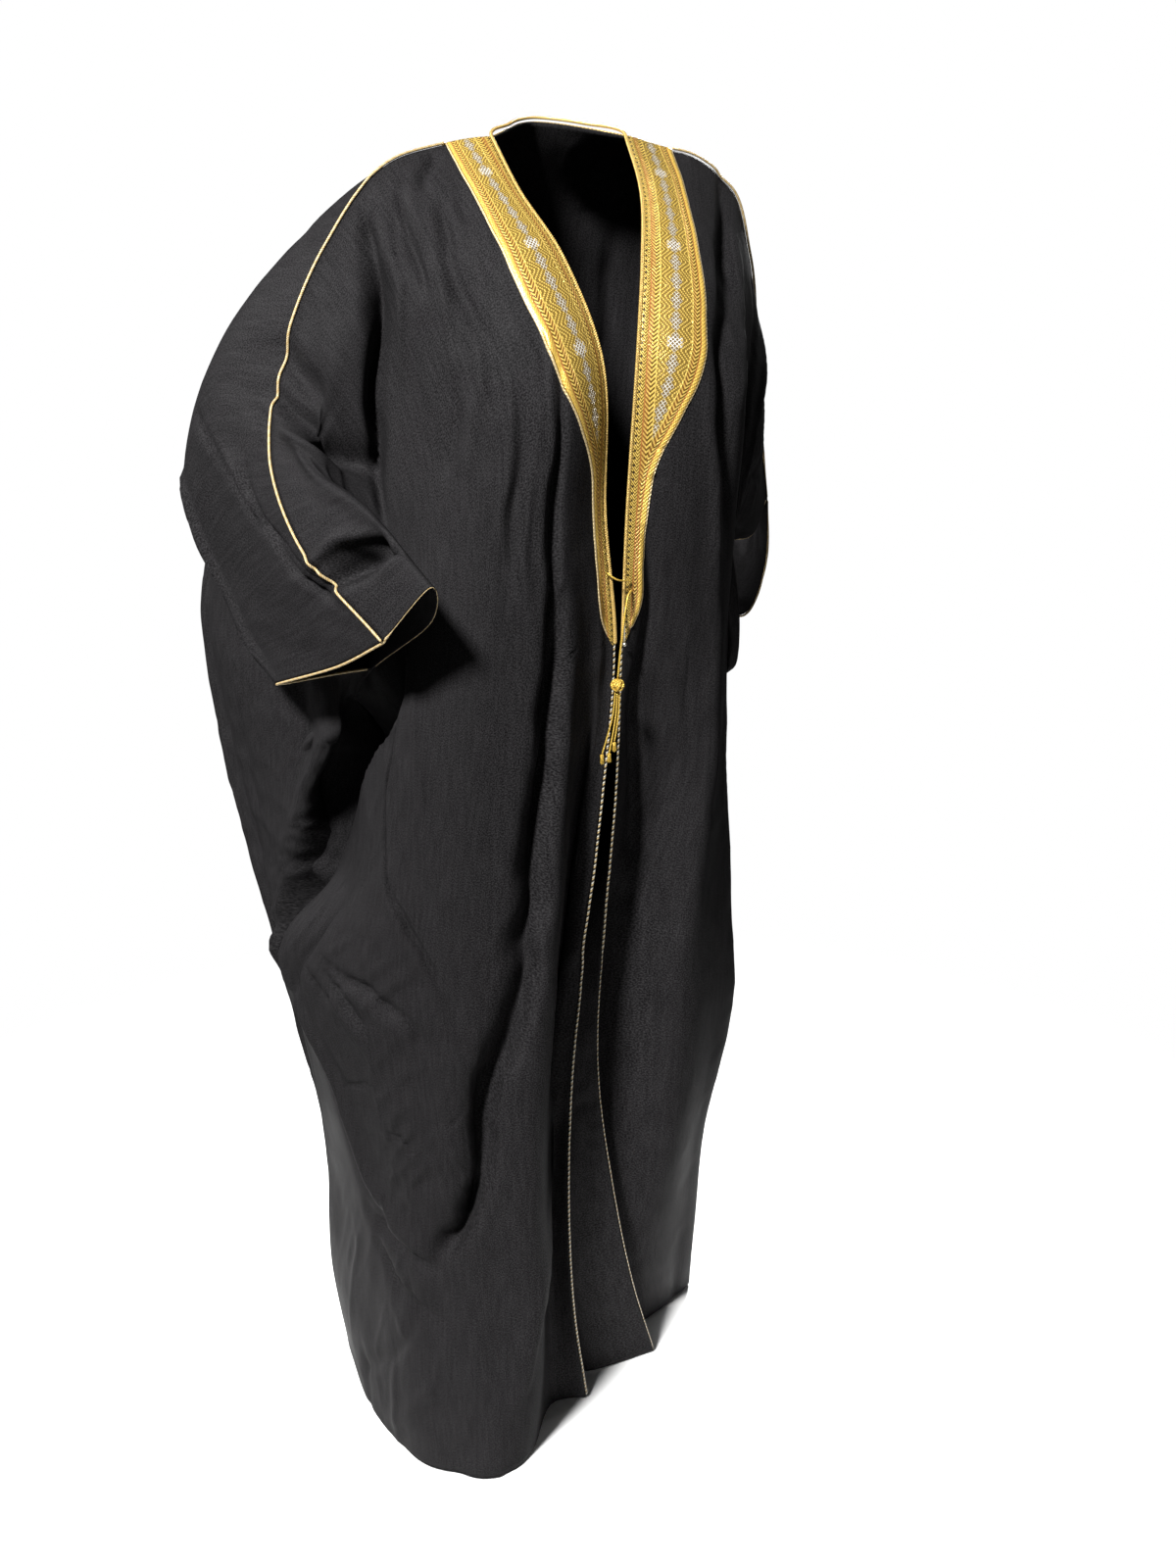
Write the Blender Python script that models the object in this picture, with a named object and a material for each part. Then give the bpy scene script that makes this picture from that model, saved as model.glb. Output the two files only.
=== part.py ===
"""A bisht: a wide black cloak with a gold band, standing as it is worn.

The cloth is three cut pieces: a right front, a left front and one back. They meet along
the seam over each shoulder and arm, and along each side seam below the open cuff. Every
piece is a wall lofted through hand-set sections, a row for each level from the
shoulder seam to the hem and a column for each place along the seam. The wearer faces -Y
and +X is the wearer's left. The origin is the middle of the neck opening at the height
where the shoulders hold the cloak.
"""

import math

import bpy
import numpy as np

MM = 0.001
HELD_HEIGHT = 1450.0

CLOTH_THICK = 1.6
BAND_THICK = 1.2
SEAM_GAP = 0.4
LAY_GAP = 0.3
PIPING_LIFT = 0.9
PIPING_START = 2.0
CUFF_PIPING_CLEAR = 0.8
CUFF_CORNER_REACH = 3.2
NECK_CORD_LIFT = 2.2

SEAM_PIPING_RADIUS = 1.6
EDGE_PIPING_RADIUS = 1.5
CUFF_PIPING_RADIUS = 1.5
BAND_CORD_RADIUS = 1.9

KNOT_RADIUS = 7.0
TASSEL_RADIUS = 2.6
TASSEL_LENGTH = 11.0
TASSEL_TAPER = 0.45
BEAD_RADIUS = 2.2

COLLECTION = "bisht_cloak"

BAND_STEPS = 3
BAND_TIP_RISE = 0.35
NECK_BAND_ROWS = 2

FOLD_STOPS = 25
SEAM_EASE_ROWS = 4
SHARP_ANGLE = 50
BALL_SIDES = 12
BALL_RINGS = 8
TASSEL_SIDES = 10

# Sections of the right front, in mm from the floor. A row is a level of the cloth, named
# by where it lies at the front edge, and starts with its distance down the cloth. The
# columns run from the front edge, over the breast and the flank, to the side edge, each
# with its distance across the cloth.
FRONT_RIGHT_COLUMNS = {"edge": 0, "strip": 24, "band": 56, "flank": 112, "arm": 205,
                       "elbow": 360, "forearm": 510, "side": 650}
FRONT_RIGHT = {
    "seam": (0, (-74, 0, 1450), (-96, 3, 1448), (-120, 6, 1443), (-178, 0, 1427),
             (-248, -8, 1352), (-318, -34, 1200), (-324, -115, 1100), (-277, -210, 1019)),
    "yoke": (80, (-75, -65, 1403), (-92, -68, 1403), (-118, -68, 1400), (-170, -62, 1380),
             (-232, -58, 1310), (-298, -85, 1180), (-280, -165, 1135), (-246, -250, 1074)),
    "chest": (180, (-58, -130, 1342), (-76, -137, 1341), (-106, -140, 1335), (-160, -124, 1305),
              (-206, -88, 1235), (-262, -95, 1130), (-248, -165, 1085), (-230, -208, 1030)),
    "bust": (270, (-40, -170, 1262), (-57, -182, 1260), (-86, -192, 1254), (-146, -175, 1225),
             (-198, -128, 1150), (-234, -98, 1065), (-246, -108, 1018), (-258, -122, 968)),
    "waist": (420, (-34, -170, 1105), (-54, -180, 1103), (-88, -196, 1098), (-150, -190, 1075),
              (-208, -160, 1030), (-240, -118, 975), (-250, -90, 900), (-255, -20, 880)),
    "hip": (560, (-20, -165, 971), (-42, -164, 970), (-82, -194, 965), (-155, -192, 945),
            (-220, -168, 915), (-258, -120, 880), (-255, -55, 845), (-262, 0, 815)),
    "thigh": (720, (-29, -157, 810), (-50, -142, 810), (-88, -194, 805), (-165, -190, 795),
              (-235, -166, 775), (-275, -112, 750), (-272, -50, 735), (-278, 8, 722)),
    "drape": (880, (-43, -150, 650), (-62, -128, 650), (-98, -194, 648), (-178, -188, 642),
              (-248, -160, 636), (-305, -100, 635), (-335, -45, 640), (-338, 20, 645)),
    "knee": (1050, (-56, -139, 480), (-72, -114, 480), (-108, -190, 480), (-180, -188, 478),
             (-240, -155, 475), (-280, -100, 472), (-300, -40, 474), (-298, 40, 478)),
    "shin": (1230, (-57, -130, 300), (-72, -104, 300), (-110, -182, 300), (-172, -180, 300),
             (-232, -142, 300), (-264, -80, 300), (-276, 0, 300), (-272, 85, 300)),
    "ankle": (1380, (-42, -113, 140), (-64, -92, 140), (-108, -170, 140), (-172, -182, 140),
              (-230, -144, 140), (-264, -80, 140), (-278, 5, 140), (-270, 100, 140)),
    "hem": (1510, (-19, -100, 4), (-60, -92, 4), (-112, -152, 4), (-165, -176, 4),
            (-222, -140, 4), (-252, -75, 4), (-262, 10, 4), (-252, 105, 4)),
}

# Sections of the left front. Below the thigh its edge turns back on itself, so the
# second column is the turn and the third the bottom of the valley behind it.
FRONT_LEFT_COLUMNS = {"edge": 0, "turn": 42, "valley": 84, "panel": 130, "corner": 205,
                      "arm": 350, "side": 490}
FRONT_LEFT = {
    "seam": (0, (76, 0, 1452), (118, 4, 1442), (158, 0, 1432), (198, 0, 1404),
             (232, 14, 1335), (258, 34, 1200), (283, 42, 1062)),
    "yoke": (80, (60, -65, 1403), (95, -66, 1399), (130, -64, 1388), (168, -58, 1358),
             (205, -42, 1290), (234, -26, 1168), (232, -16, 1037)),
    "chest": (180, (30, -128, 1340), (68, -138, 1333), (105, -138, 1318), (142, -122, 1280),
              (170, -84, 1212), (184, -76, 1108), (172, -52, 1036)),
    "bust": (270, (8, -163, 1262), (48, -176, 1258), (90, -176, 1242), (130, -155, 1215),
             (150, -100, 1150), (154, -96, 1035), (152, -40, 992)),
    "waist": (420, (-6, -170, 1105), (35, -180, 1100), (75, -178, 1092), (115, -160, 1080),
              (150, -105, 1050), (166, -80, 930), (168, -10, 900)),
    "hip": (560, (-6, -160, 971), (32, -156, 970), (68, -162, 965), (108, -155, 960),
            (150, -98, 945), (176, -55, 862), (190, 15, 830)),
    "thigh": (720, (-4, -145, 810), (26, -120, 810), (58, -128, 808), (98, -148, 805),
              (152, -98, 795), (186, -35, 765), (198, 30, 745)),
    "drape": (880, (-12, -130, 650), (-32, -92, 650), (14, -82, 650), (75, -137, 648),
              (156, -98, 645), (192, -35, 642), (200, 40, 640)),
    "knee": (1050, (-8, -105, 470), (-48, -88, 470), (6, -62, 470), (68, -124, 470),
             (165, -88, 472), (202, -25, 474), (205, 45, 476)),
    "shin": (1230, (14, -100, 300), (-48, -92, 300), (0, -60, 300), (70, -105, 300),
             (148, -66, 300), (180, -5, 300), (185, 60, 300)),
    "ankle": (1380, (50, -85, 140), (-30, -78, 140), (12, -40, 140), (85, -52, 140),
              (158, -25, 140), (192, 20, 140), (195, 70, 140)),
    "hem": (1510, (96, -58, 4), (2, -56, 4), (40, -18, 4), (119, 2, 4),
            (180, 28, 4), (210, 52, 4), (212, 88, 4)),
}

# Sections of the back, from the right side edge round to the left one.
BACK_COLUMNS = {"side right": 0, "forearm right": 150, "elbow right": 300, "arm right": 450,
                "blade right": 540, "neck right": 650, "middle": 730, "neck left": 810,
                "blade left": 895, "arm left": 1000, "elbow left": 1140, "side left": 1300}
BACK = {
    "seam": (0, (-277, -210, 1019), (-324, -115, 1100), (-318, -34, 1200), (-248, -8, 1352),
             (-178, 0, 1427), (-74, 0, 1450), (0, 58, 1466), (76, 0, 1452),
             (158, 0, 1432), (220, 9, 1360), (258, 34, 1200), (283, 42, 1062)),
    "yoke": (80, (-300, -150, 985), (-340, -60, 1070), (-350, 55, 1205), (-270, 70, 1338),
             (-180, 76, 1405), (-82, 90, 1418), (0, 98, 1412), (82, 90, 1418),
             (160, 76, 1405), (237, 63, 1322), (285, 88, 1152), (274, 26, 992)),
    "chest": (180, (-333, -50, 944), (-350, 40, 1000), (-367, 135, 1125), (-288, 130, 1268),
              (-185, 132, 1315), (-85, 135, 1330), (0, 132, 1325), (85, 135, 1330),
              (165, 132, 1315), (242, 112, 1230), (281, 98, 1085), (216, -20, 945)),
    "bust": (270, (-258, -122, 968), (-302, -15, 975), (-348, 125, 1045), (-285, 155, 1180),
             (-190, 160, 1225), (-88, 158, 1240), (0, 155, 1238), (88, 158, 1240),
             (165, 155, 1225), (230, 130, 1160), (262, 110, 1050), (152, -40, 992)),
    "waist": (420, (-255, -20, 880), (-287, -42, 888), (-352, 130, 945), (-292, 172, 1040),
              (-195, 180, 1075), (-90, 178, 1095), (0, 172, 1095), (90, 175, 1095),
              (160, 165, 1075), (212, 130, 1030), (232, 70, 960), (168, -10, 900)),
    "hip": (560, (-262, 0, 815), (-300, -15, 815), (-338, 125, 835), (-290, 175, 890),
            (-200, 188, 925), (-92, 186, 945), (0, 180, 950), (88, 180, 945),
            (155, 165, 925), (202, 120, 890), (215, 65, 850), (190, 15, 830)),
    "thigh": (720, (-278, 8, 722), (-308, 5, 724), (-324, 112, 735), (-282, 172, 760),
              (-198, 190, 785), (-95, 190, 800), (0, 185, 805), (85, 182, 800),
              (150, 165, 785), (195, 120, 765), (210, 72, 750), (198, 30, 745)),
    "drape": (880, (-338, 20, 645), (-326, 55, 645), (-312, 100, 646), (-272, 160, 648),
              (-195, 188, 650), (-95, 192, 652), (0, 188, 652), (85, 184, 652),
              (148, 166, 650), (192, 125, 648), (210, 80, 644), (200, 40, 640)),
    "knee": (1050, (-298, 40, 478), (-294, 75, 478), (-280, 112, 478), (-245, 158, 478),
             (-180, 188, 478), (-90, 196, 478), (0, 192, 478), (85, 186, 478),
             (146, 168, 478), (190, 128, 477), (210, 84, 476), (205, 45, 476)),
    "shin": (1230, (-272, 85, 300), (-266, 110, 300), (-250, 140, 300), (-220, 168, 300),
             (-168, 190, 300), (-88, 198, 300), (0, 194, 300), (80, 188, 300),
             (138, 170, 300), (178, 136, 300), (192, 98, 300), (185, 60, 300)),
    "ankle": (1380, (-270, 100, 140), (-264, 122, 140), (-248, 148, 140), (-216, 172, 140),
              (-162, 192, 140), (-86, 200, 140), (0, 196, 140), (80, 190, 140),
              (138, 174, 140), (180, 142, 140), (198, 105, 140), (195, 70, 140)),
    "hem": (1510, (-252, 105, 4), (-248, 126, 4), (-236, 150, 4), (-208, 174, 4),
            (-158, 194, 4), (-86, 202, 4), (0, 198, 4), (80, 192, 4),
            (140, 178, 4), (186, 150, 4), (210, 118, 4), (212, 88, 4)),
}

# The largest folds of each piece. Start, middle and end are places on the flat cloth: mm
# down from the seam, then mm across. Half width is in mm, and height is above the cloth
# for a ridge and below it for a trough.
FOLD_COLUMNS = ("start", "middle", "end", "half_width", "height")
FOLDS = {
    "right": {
        "front ridge": ((470, 44), (900, 62), (1400, 92), 20, 6),
        "main valley": ((560, 68), (770, 94), (1010, 118), 15, -15),
        "swag pocket": ((1080, 122), (1170, 138), (1240, 165), 20, -20),
        "swag lip": ((1000, 440), (1110, 345), (1205, 190), 28, 11),
        "crook": ((50, 160), (165, 237), (250, 285), 17, -15),
        "elbow hollow": ((15, 292), (60, 286), (110, 280), 18, -9),
        "forearm crease": ((12, 545), (55, 556), (95, 566), 13, -8),
        "chest fold": ((100, 112), (200, 132), (330, 140), 20, -6),
        "hip crease": ((560, 300), (760, 240), (900, 150), 18, -5),
    },
    "left": {
        "waist valley": ((470, 28), (650, 48), (860, 86), 14, -7),
        "corner ridge": ((260, 66), (420, 100), (760, 165), 16, 4),
        "under-arm fold": ((330, 290), (700, 320), (1300, 330), 24, -14),
    },
    "back": {
        "elbow crease": ((108, 305), (66, 205), (55, 110), 13, -7),
        "upper crease": ((55, 322), (30, 290), (8, 262), 12, -5),
        "elbow fall": ((190, 380), (700, 400), (1350, 420), 30, -13),
        "blade fall": ((130, 520), (760, 530), (1490, 520), 28, -10),
        "right middle": ((420, 660), (900, 650), (1500, 640), 26, 8),
        "left middle": ((260, 800), (860, 790), (1500, 800), 28, -9),
        "left blade fall": ((120, 930), (700, 930), (1500, 915), 26, -12),
        "left arm fall": ((280, 1075), (760, 1060), (1480, 1040), 24, 9),
        "side fall": ((330, 1190), (800, 1180), (1350, 1190), 22, -13),
    },
}

# Threads and cords of the fastening: the radius, then the stops of the route in mm from the
# floor, from the end that is sewn down to the free end. The loop is sewn down at both ends.
CORDS = {
    "closure_loop": (0.9, ((-31, -171.8, 1050), (-28, -174.5, 1047), (-23, -177, 1043.5),
                           (-15, -175, 1041), (-9, -172.4, 1039.5), (-3.6, -169.9, 1038))),
    "closure_cord": (1.1, ((-1.4, -168.5, 1029), (-7, -172.6, 1025.5), (-12, -176.4, 1013),
                           (-16, -178.8, 994), (-19.5, -179.4, 968), (-21.6, -179, 943.4))),
    "closure_tail_1": (0.9, ((-24.4, -179, 928.8), (-27.2, -179.5, 906), (-32.6, -178.5, 884),
                             (-38, -177, 864.8))),
    "closure_tail_2": (0.9, ((-22.1, -179, 928.5), (-23.9, -179.6, 906), (-27.2, -179, 884),
                             (-30.6, -178.5, 865.8))),
    "closure_tail_3": (0.9, ((-19.8, -179, 928.8), (-20.9, -179.6, 906), (-22.8, -179, 890),
                             (-24.8, -178.4, 876.8))),
    "closure_thread": (0.6, ((-8.9, -167.4, 1012), (-8.9, -167.5, 1000), (-8.6, -167.4, 988),
                             (-8.4, -167.3, 976))),
}
CORD_SPACING = 4.0
KNOT_CENTRE = (-22, -179, 936)
TAILS = ("closure_tail_1", "closure_tail_2", "closure_tail_3")

# Levels of the cloth, down from the seam, where every piece has a row of points.
CUFF_DOWN = 270
BAND_DOWN = 556
LEVELS = (0, 25, 52, 80, 112, 145, 180, 215, 243, CUFF_DOWN, 300, 330, 372, 420, 490, BAND_DOWN, 630,
          700, 770, 840, 910, 980, 1050, 1120, 1190, 1260, 1330, 1395, 1455, 1510)
CUFF_ROW = LEVELS.index(CUFF_DOWN)
BAND_ROWS = LEVELS.index(BAND_DOWN) + 1

# Width of the gold band down the front edge, in mm. Below its foot the same columns of
# points spread over the fold behind the edge.
BAND_WIDTH = {0: 54, 80: 60, 180: 64, 243: 66, 270: 65, 300: 58, 330: 44, 372: 24, 420: 19,
              BAND_DOWN: 17, 630: 45, 770: 62, 1510: 64}

# Places across the cloth with a column of points, past the band on each front and under
# the neck on the back, and the back's places where the two fronts' seams start.
RIGHT_STEPS = (80, 98, 120, 150, 185, 222, 260, 300, 345, 395, 445, 495, 535, 575, 615, 650)
LEFT_STEPS = (80, 105, 135, 170, 210, 250, 300, 350, 400, 445, 490)
NECK_STEPS = (686, 730, 774)
RIGHT_NECK_AT = BACK_COLUMNS["neck right"]
LEFT_NECK_AT = BACK_COLUMNS["neck left"]


def curve_through(at, values, places):
    """Points of the smooth curve through values, which lie at the places in at."""
    at = np.asarray(at, float)
    values = np.asarray(values, float)
    places = np.asarray(places, float)
    slopes = np.gradient(values, at, axis=0)
    span = np.clip(np.searchsorted(at, places, side="right") - 1, 0, len(at) - 2)
    length = at[span + 1] - at[span]
    share = (places - at[span]) / length
    shape = (-1,) + (1,) * (values.ndim - 1)
    length = length.reshape(shape)
    share = share.reshape(shape)
    rise = share * share * (3 - 2 * share)
    lead = share * (1 - share) ** 2 * length
    trail = share * share * (share - 1) * length
    return (
        values[span] * (1 - rise)
        + values[span + 1] * rise
        + slopes[span] * lead
        + slopes[span + 1] * trail
    )


def lofted(sections, columns, places):
    """Grid of points through the sections: a row for each level, read at its own places."""
    levels = [row[0] for row in sections.values()]
    points = np.array([row[1:] for row in sections.values()], float)
    by_level = curve_through(levels, points, LEVELS)
    across = list(columns.values())
    return np.array([curve_through(across, row, at) for row, at in zip(by_level, places)])


def front_places(steps):
    """Places across a front at each level: first those under the band, then the steps."""
    widths = np.interp(LEVELS, list(BAND_WIDTH), list(BAND_WIDTH.values()))
    under = [np.linspace(0, width, BAND_STEPS + 1) for width in widths]
    return np.array([np.concatenate([band, steps]) for band in under])


def snap(rows, target):
    """Moves the first row of a grid to the target, and eases the next rows after it."""
    shift = target - rows[0]
    for step in range(SEAM_EASE_ROWS):
        rows[step] += shift * (1 - step / SEAM_EASE_ROWS) ** 2


def fold_heights(folds, places):
    """How far each point of a grid stands out of the smooth cloth, from the table of folds."""
    down = np.repeat(np.array(LEVELS, float)[:, None], places.shape[1], axis=1)
    height = np.zeros_like(places)
    along = np.linspace(0, 1, FOLD_STOPS)[:, None]
    for row in folds.values():
        fold = dict(zip(FOLD_COLUMNS, row))
        start = np.array(fold["start"])
        end = np.array(fold["end"])
        through = 2 * np.array(fold["middle"]) - (start + end) / 2
        path = start * (1 - along) ** 2 + through * 2 * along * (1 - along) + end * along**2
        off = np.hypot(down[..., None] - path[:, 0], places[..., None] - path[:, 1])
        share = (off.argmin(axis=2) + 0.5) / FOLD_STOPS
        fade = np.sqrt(np.sin(math.pi * share))
        height += fold["height"] * fade * np.exp(-((off.min(axis=2) / fold["half_width"]) ** 2))
    return height


def normals_of(grid):
    """Unit normals of a grid of points, out of the cloth's right side."""
    across = np.gradient(grid, axis=1)
    down = np.gradient(grid, axis=0)
    normal = np.cross(across, down)
    return normal / np.linalg.norm(normal, axis=2, keepdims=True)


def unit(vectors):
    return vectors / np.linalg.norm(vectors, axis=-1, keepdims=True)


def wall(name, grid, normals, thickness, material):
    """One closed wall: the grid is its outer face, and the inner one lies under it."""
    levels, places = grid.shape[:2]
    inner = grid - normals * thickness
    points = np.concatenate([grid.reshape(-1, 3), inner.reshape(-1, 3)]) - [0, 0, HELD_HEIGHT]
    count = levels * places
    at = np.arange(count).reshape(levels, places)
    faces = []
    for row in range(levels - 1):
        for place in range(places - 1):
            a, b = at[row, place], at[row, place + 1]
            c, d = at[row + 1, place + 1], at[row + 1, place]
            faces.append((a, b, c, d))
            faces.append((a + count, d + count, c + count, b + count))
    rim = np.concatenate([at[0], at[1:, -1], at[-1, -2::-1], at[-2:0:-1, 0]])
    for start, end in zip(rim, np.roll(rim, -1)):
        faces.append((end, start, start + count, end + count))
    mesh = bpy.data.meshes.new(name)
    mesh.from_pydata((points * MM).tolist(), [], [tuple(map(int, face)) for face in faces])
    mesh.materials.append(material)
    mesh.shade_smooth()
    mesh.set_sharp_from_angle(angle=math.radians(SHARP_ANGLE))
    piece = bpy.data.objects.new(name, mesh)
    bpy.data.collections[COLLECTION].objects.link(piece)
    return piece


def tube(name, route, radius, material):
    """A round cord along a route of points."""
    curve = bpy.data.curves.new(name, "CURVE")
    curve.dimensions = "3D"
    curve.bevel_depth = radius * MM
    curve.bevel_resolution = 1
    curve.use_fill_caps = True
    spline = curve.splines.new("POLY")
    spline.points.add(len(route) - 1)
    for point, place in zip(spline.points, (np.asarray(route) - [0, 0, HELD_HEIGHT]) * MM):
        point.co = (*place, 1)
    curve.materials.append(material)
    cord = bpy.data.objects.new(name, curve)
    bpy.data.collections[COLLECTION].objects.link(cord)
    return cord


def material(name, colour, roughness, metallic=0.0):
    made = bpy.data.materials.new(name)
    made.use_nodes = True
    shader = made.node_tree.nodes["Principled BSDF"]
    shader.inputs["Base Color"].default_value = (*colour, 1)
    shader.inputs["Roughness"].default_value = roughness
    shader.inputs["Metallic"].default_value = metallic
    return made


def clear_scene():
    for thing in list(bpy.data.objects):
        bpy.data.objects.remove(thing, do_unlink=True)


def cut_panels():
    """The three cloth grids and their normals, with matching points along the seams."""
    places = {"right": front_places(RIGHT_STEPS), "left": front_places(LEFT_STEPS)}
    seam_right = RIGHT_NECK_AT - places["right"][0][::-1]
    seam_left = LEFT_NECK_AT + places["left"][0]
    around = np.concatenate([seam_right, NECK_STEPS, seam_left])
    places["back"] = np.array([around] * len(LEVELS))
    right = lofted(FRONT_RIGHT, FRONT_RIGHT_COLUMNS, places["right"])
    left = lofted(FRONT_LEFT, FRONT_LEFT_COLUMNS, places["left"])
    back = lofted(BACK, BACK_COLUMNS, places["back"])
    outward = {"right": normals_of(right), "left": -normals_of(left), "back": normals_of(back)}
    for name, grid in (("right", right), ("left", left), ("back", back)):
        grid += outward[name] * fold_heights(FOLDS[name], places[name])[..., None]
    count_right = len(seam_right)
    count_left = len(seam_left)
    below = slice(CUFF_ROW, None)
    by_column = np.swapaxes(back[below], 0, 1)
    snap(back[:, :count_right], right[0, ::-1])
    snap(back[:, -count_left:], left[0])
    snap(by_column, right[below, -1])
    snap(by_column[::-1], left[below, -1])
    grids = {"right": right, "left": left, "back": back}
    normals = {
        "right": normals_of(right),
        "left": -normals_of(left),
        "back": normals_of(back),
    }
    over_right = np.s_[0, count_right - 1 :: -1], np.s_[1, count_right - 1 :: -1]
    over_left = np.s_[0, -count_left:], np.s_[1, -count_left:]
    seams = (
        ("right", np.s_[0], np.s_[1], *over_right),
        ("left", np.s_[0], np.s_[1], *over_left),
        ("right", np.s_[below, -1], np.s_[below, -2], np.s_[below, 0], np.s_[below, 1]),
        ("left", np.s_[below, -1], np.s_[below, -2], np.s_[below, -1], np.s_[below, -2]),
    )
    for side, edge, inside, back_edge, back_inside in seams:
        into = unit(grids[side][inside] - grids[side][edge])
        into_back = unit(back[back_inside] - back[back_edge])
        facing = normals[side][edge] + normals["back"][back_edge]
        shared = unit(facing - into - into_back)
        normals[side][edge] = shared
        normals["back"][back_edge] = shared
        apart = unit(into - into_back) * SEAM_GAP / 2
        grids[side][edge] += apart
        back[back_edge] -= apart
    return grids, normals


def band_on(name, grid, outward, gold):
    """A woven band: a thin wall on the panel's own points, moved out."""
    lifted = grid + outward * (LAY_GAP + BAND_THICK)
    wall(name, lifted, outward, BAND_THICK, gold)


def front_band(name, grid, outward, gold, mirrored):
    """The band down one front. Its foot is cut to a point at the front edge."""
    strip = grid[:BAND_ROWS, : BAND_STEPS + 1].copy()
    rise = np.linspace(0, BAND_TIP_RISE, BAND_STEPS + 1)[:, None]
    strip[-1] = strip[-1] * (1 - rise) + strip[-2] * rise
    strip[0] += unit(strip[1] - strip[0]) * SEAM_GAP
    facing = outward[:BAND_ROWS, : BAND_STEPS + 1]
    if mirrored:
        strip = strip[:, ::-1]
        facing = facing[:, ::-1]
    band_on(name, strip, facing, gold)


def beside_edge(grid, outward, edge, reach, lift):
    """Route of a cord sewn along the first or last column of a grid, just clear of it."""
    facing = outward[:, edge]
    inward = grid[:, 1 if edge == 0 else -2] - grid[:, edge]
    along = unit(np.diff(grid[:, edge], axis=0))
    away = unit(np.cross(along, facing[:-1] + facing[1:]))
    away *= -np.sign((away * (inward[:-1] + inward[1:])).sum(1, keepdims=True))
    before = np.concatenate([away[:1], away])
    after = np.concatenate([away, away[-1:]])
    away = (before + after) / (1 + (before * after).sum(1, keepdims=True))
    return grid[:, edge] + away * reach + facing * lift


def cuff_route(front, front_outward, back, back_outward, back_edge):
    """Route round a cuff: up the front half's edge to the corner and down the back half's."""
    reach = CUFF_PIPING_RADIUS + CUFF_PIPING_CLEAR
    one = beside_edge(front, front_outward, -1, reach, -CLOTH_THICK / 2)
    other = beside_edge(back, back_outward, back_edge, reach, -CLOTH_THICK / 2)
    tip = front[0, -1]
    corner = tip + unit((one[0] + other[0]) / 2 - tip) * CUFF_CORNER_REACH
    return np.concatenate([one[CUFF_ROW - 1 : 0 : -1], [corner], other[1:CUFF_ROW]])


def keep(piece, name, material):
    """Names a new primitive, gives it its material and moves it to the cloak's collection."""
    piece.name = name
    piece.data.materials.append(material)
    for holder in list(piece.users_collection):
        holder.objects.unlink(piece)
    bpy.data.collections[COLLECTION].objects.link(piece)


def ball(name, centre, radius, material):
    """A round knot or bead."""
    bpy.ops.mesh.primitive_uv_sphere_add(
        segments=BALL_SIDES,
        ring_count=BALL_RINGS,
        radius=radius * MM,
        location=[value * MM for value in np.array(centre) - [0, 0, HELD_HEIGHT]],
    )
    bpy.context.object.data.shade_smooth()
    keep(bpy.context.object, name, material)


def tassel(name, top, material):
    """A short brush of threads hanging from the end of a tail."""
    bpy.ops.mesh.primitive_cone_add(
        vertices=TASSEL_SIDES,
        radius1=TASSEL_RADIUS * MM,
        radius2=TASSEL_RADIUS * TASSEL_TAPER * MM,
        depth=TASSEL_LENGTH * MM,
        location=[
            top[0] * MM,
            top[1] * MM,
            (top[2] - LAY_GAP - TASSEL_LENGTH / 2 - HELD_HEIGHT) * MM,
        ],
    )
    keep(bpy.context.object, name, material)


def smooth_route(stops, spacing):
    """Points about a spacing apart on the smooth curve through the stops."""
    stops = np.array(stops, float)
    lengths = np.concatenate([[0], np.cumsum(np.linalg.norm(np.diff(stops, axis=0), axis=1))])
    count = max(3, int(lengths[-1] / spacing) + 1)
    return curve_through(lengths, stops, np.linspace(0, lengths[-1], count))


clear_scene()
bpy.context.scene.collection.children.link(bpy.data.collections.new(COLLECTION))
cloth = material("black_cloth", (0.012, 0.012, 0.014), 0.55)
gold = material("gold_band", (0.62, 0.40, 0.10), 0.38, 0.7)
pale_gold = material("pale_gold_piping", (0.72, 0.60, 0.33), 0.45, 0.4)
silver_gold = material("silver_gold_piping", (0.55, 0.47, 0.32), 0.45, 0.5)
gold_thread = material("gold_thread", (0.78, 0.52, 0.10), 0.35, 0.8)
silver_thread = material("silver_thread", (0.6, 0.58, 0.52), 0.35, 0.8)

grids, normals = cut_panels()
right = grids["right"]
left = grids["left"]
back = grids["back"]
after_seam = right.shape[1]

wall("front_right", right, normals["right"], CLOTH_THICK, cloth)
wall("front_left", left[:, ::-1], normals["left"][:, ::-1], CLOTH_THICK, cloth)
wall("back", back, normals["back"], CLOTH_THICK, cloth)

front_band("band_right", right, normals["right"], gold, False)
front_band("band_left", left, normals["left"], gold, True)
neck = slice(after_seam - BAND_STEPS - 1, after_seam + len(NECK_STEPS) + BAND_STEPS + 1)
neck_strip = back[:NECK_BAND_ROWS, neck].copy()
neck_strip[0] += unit(neck_strip[1] - neck_strip[0]) * SEAM_GAP
band_on("band_neck", neck_strip, normals["back"][:NECK_BAND_ROWS, neck], gold)

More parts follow.
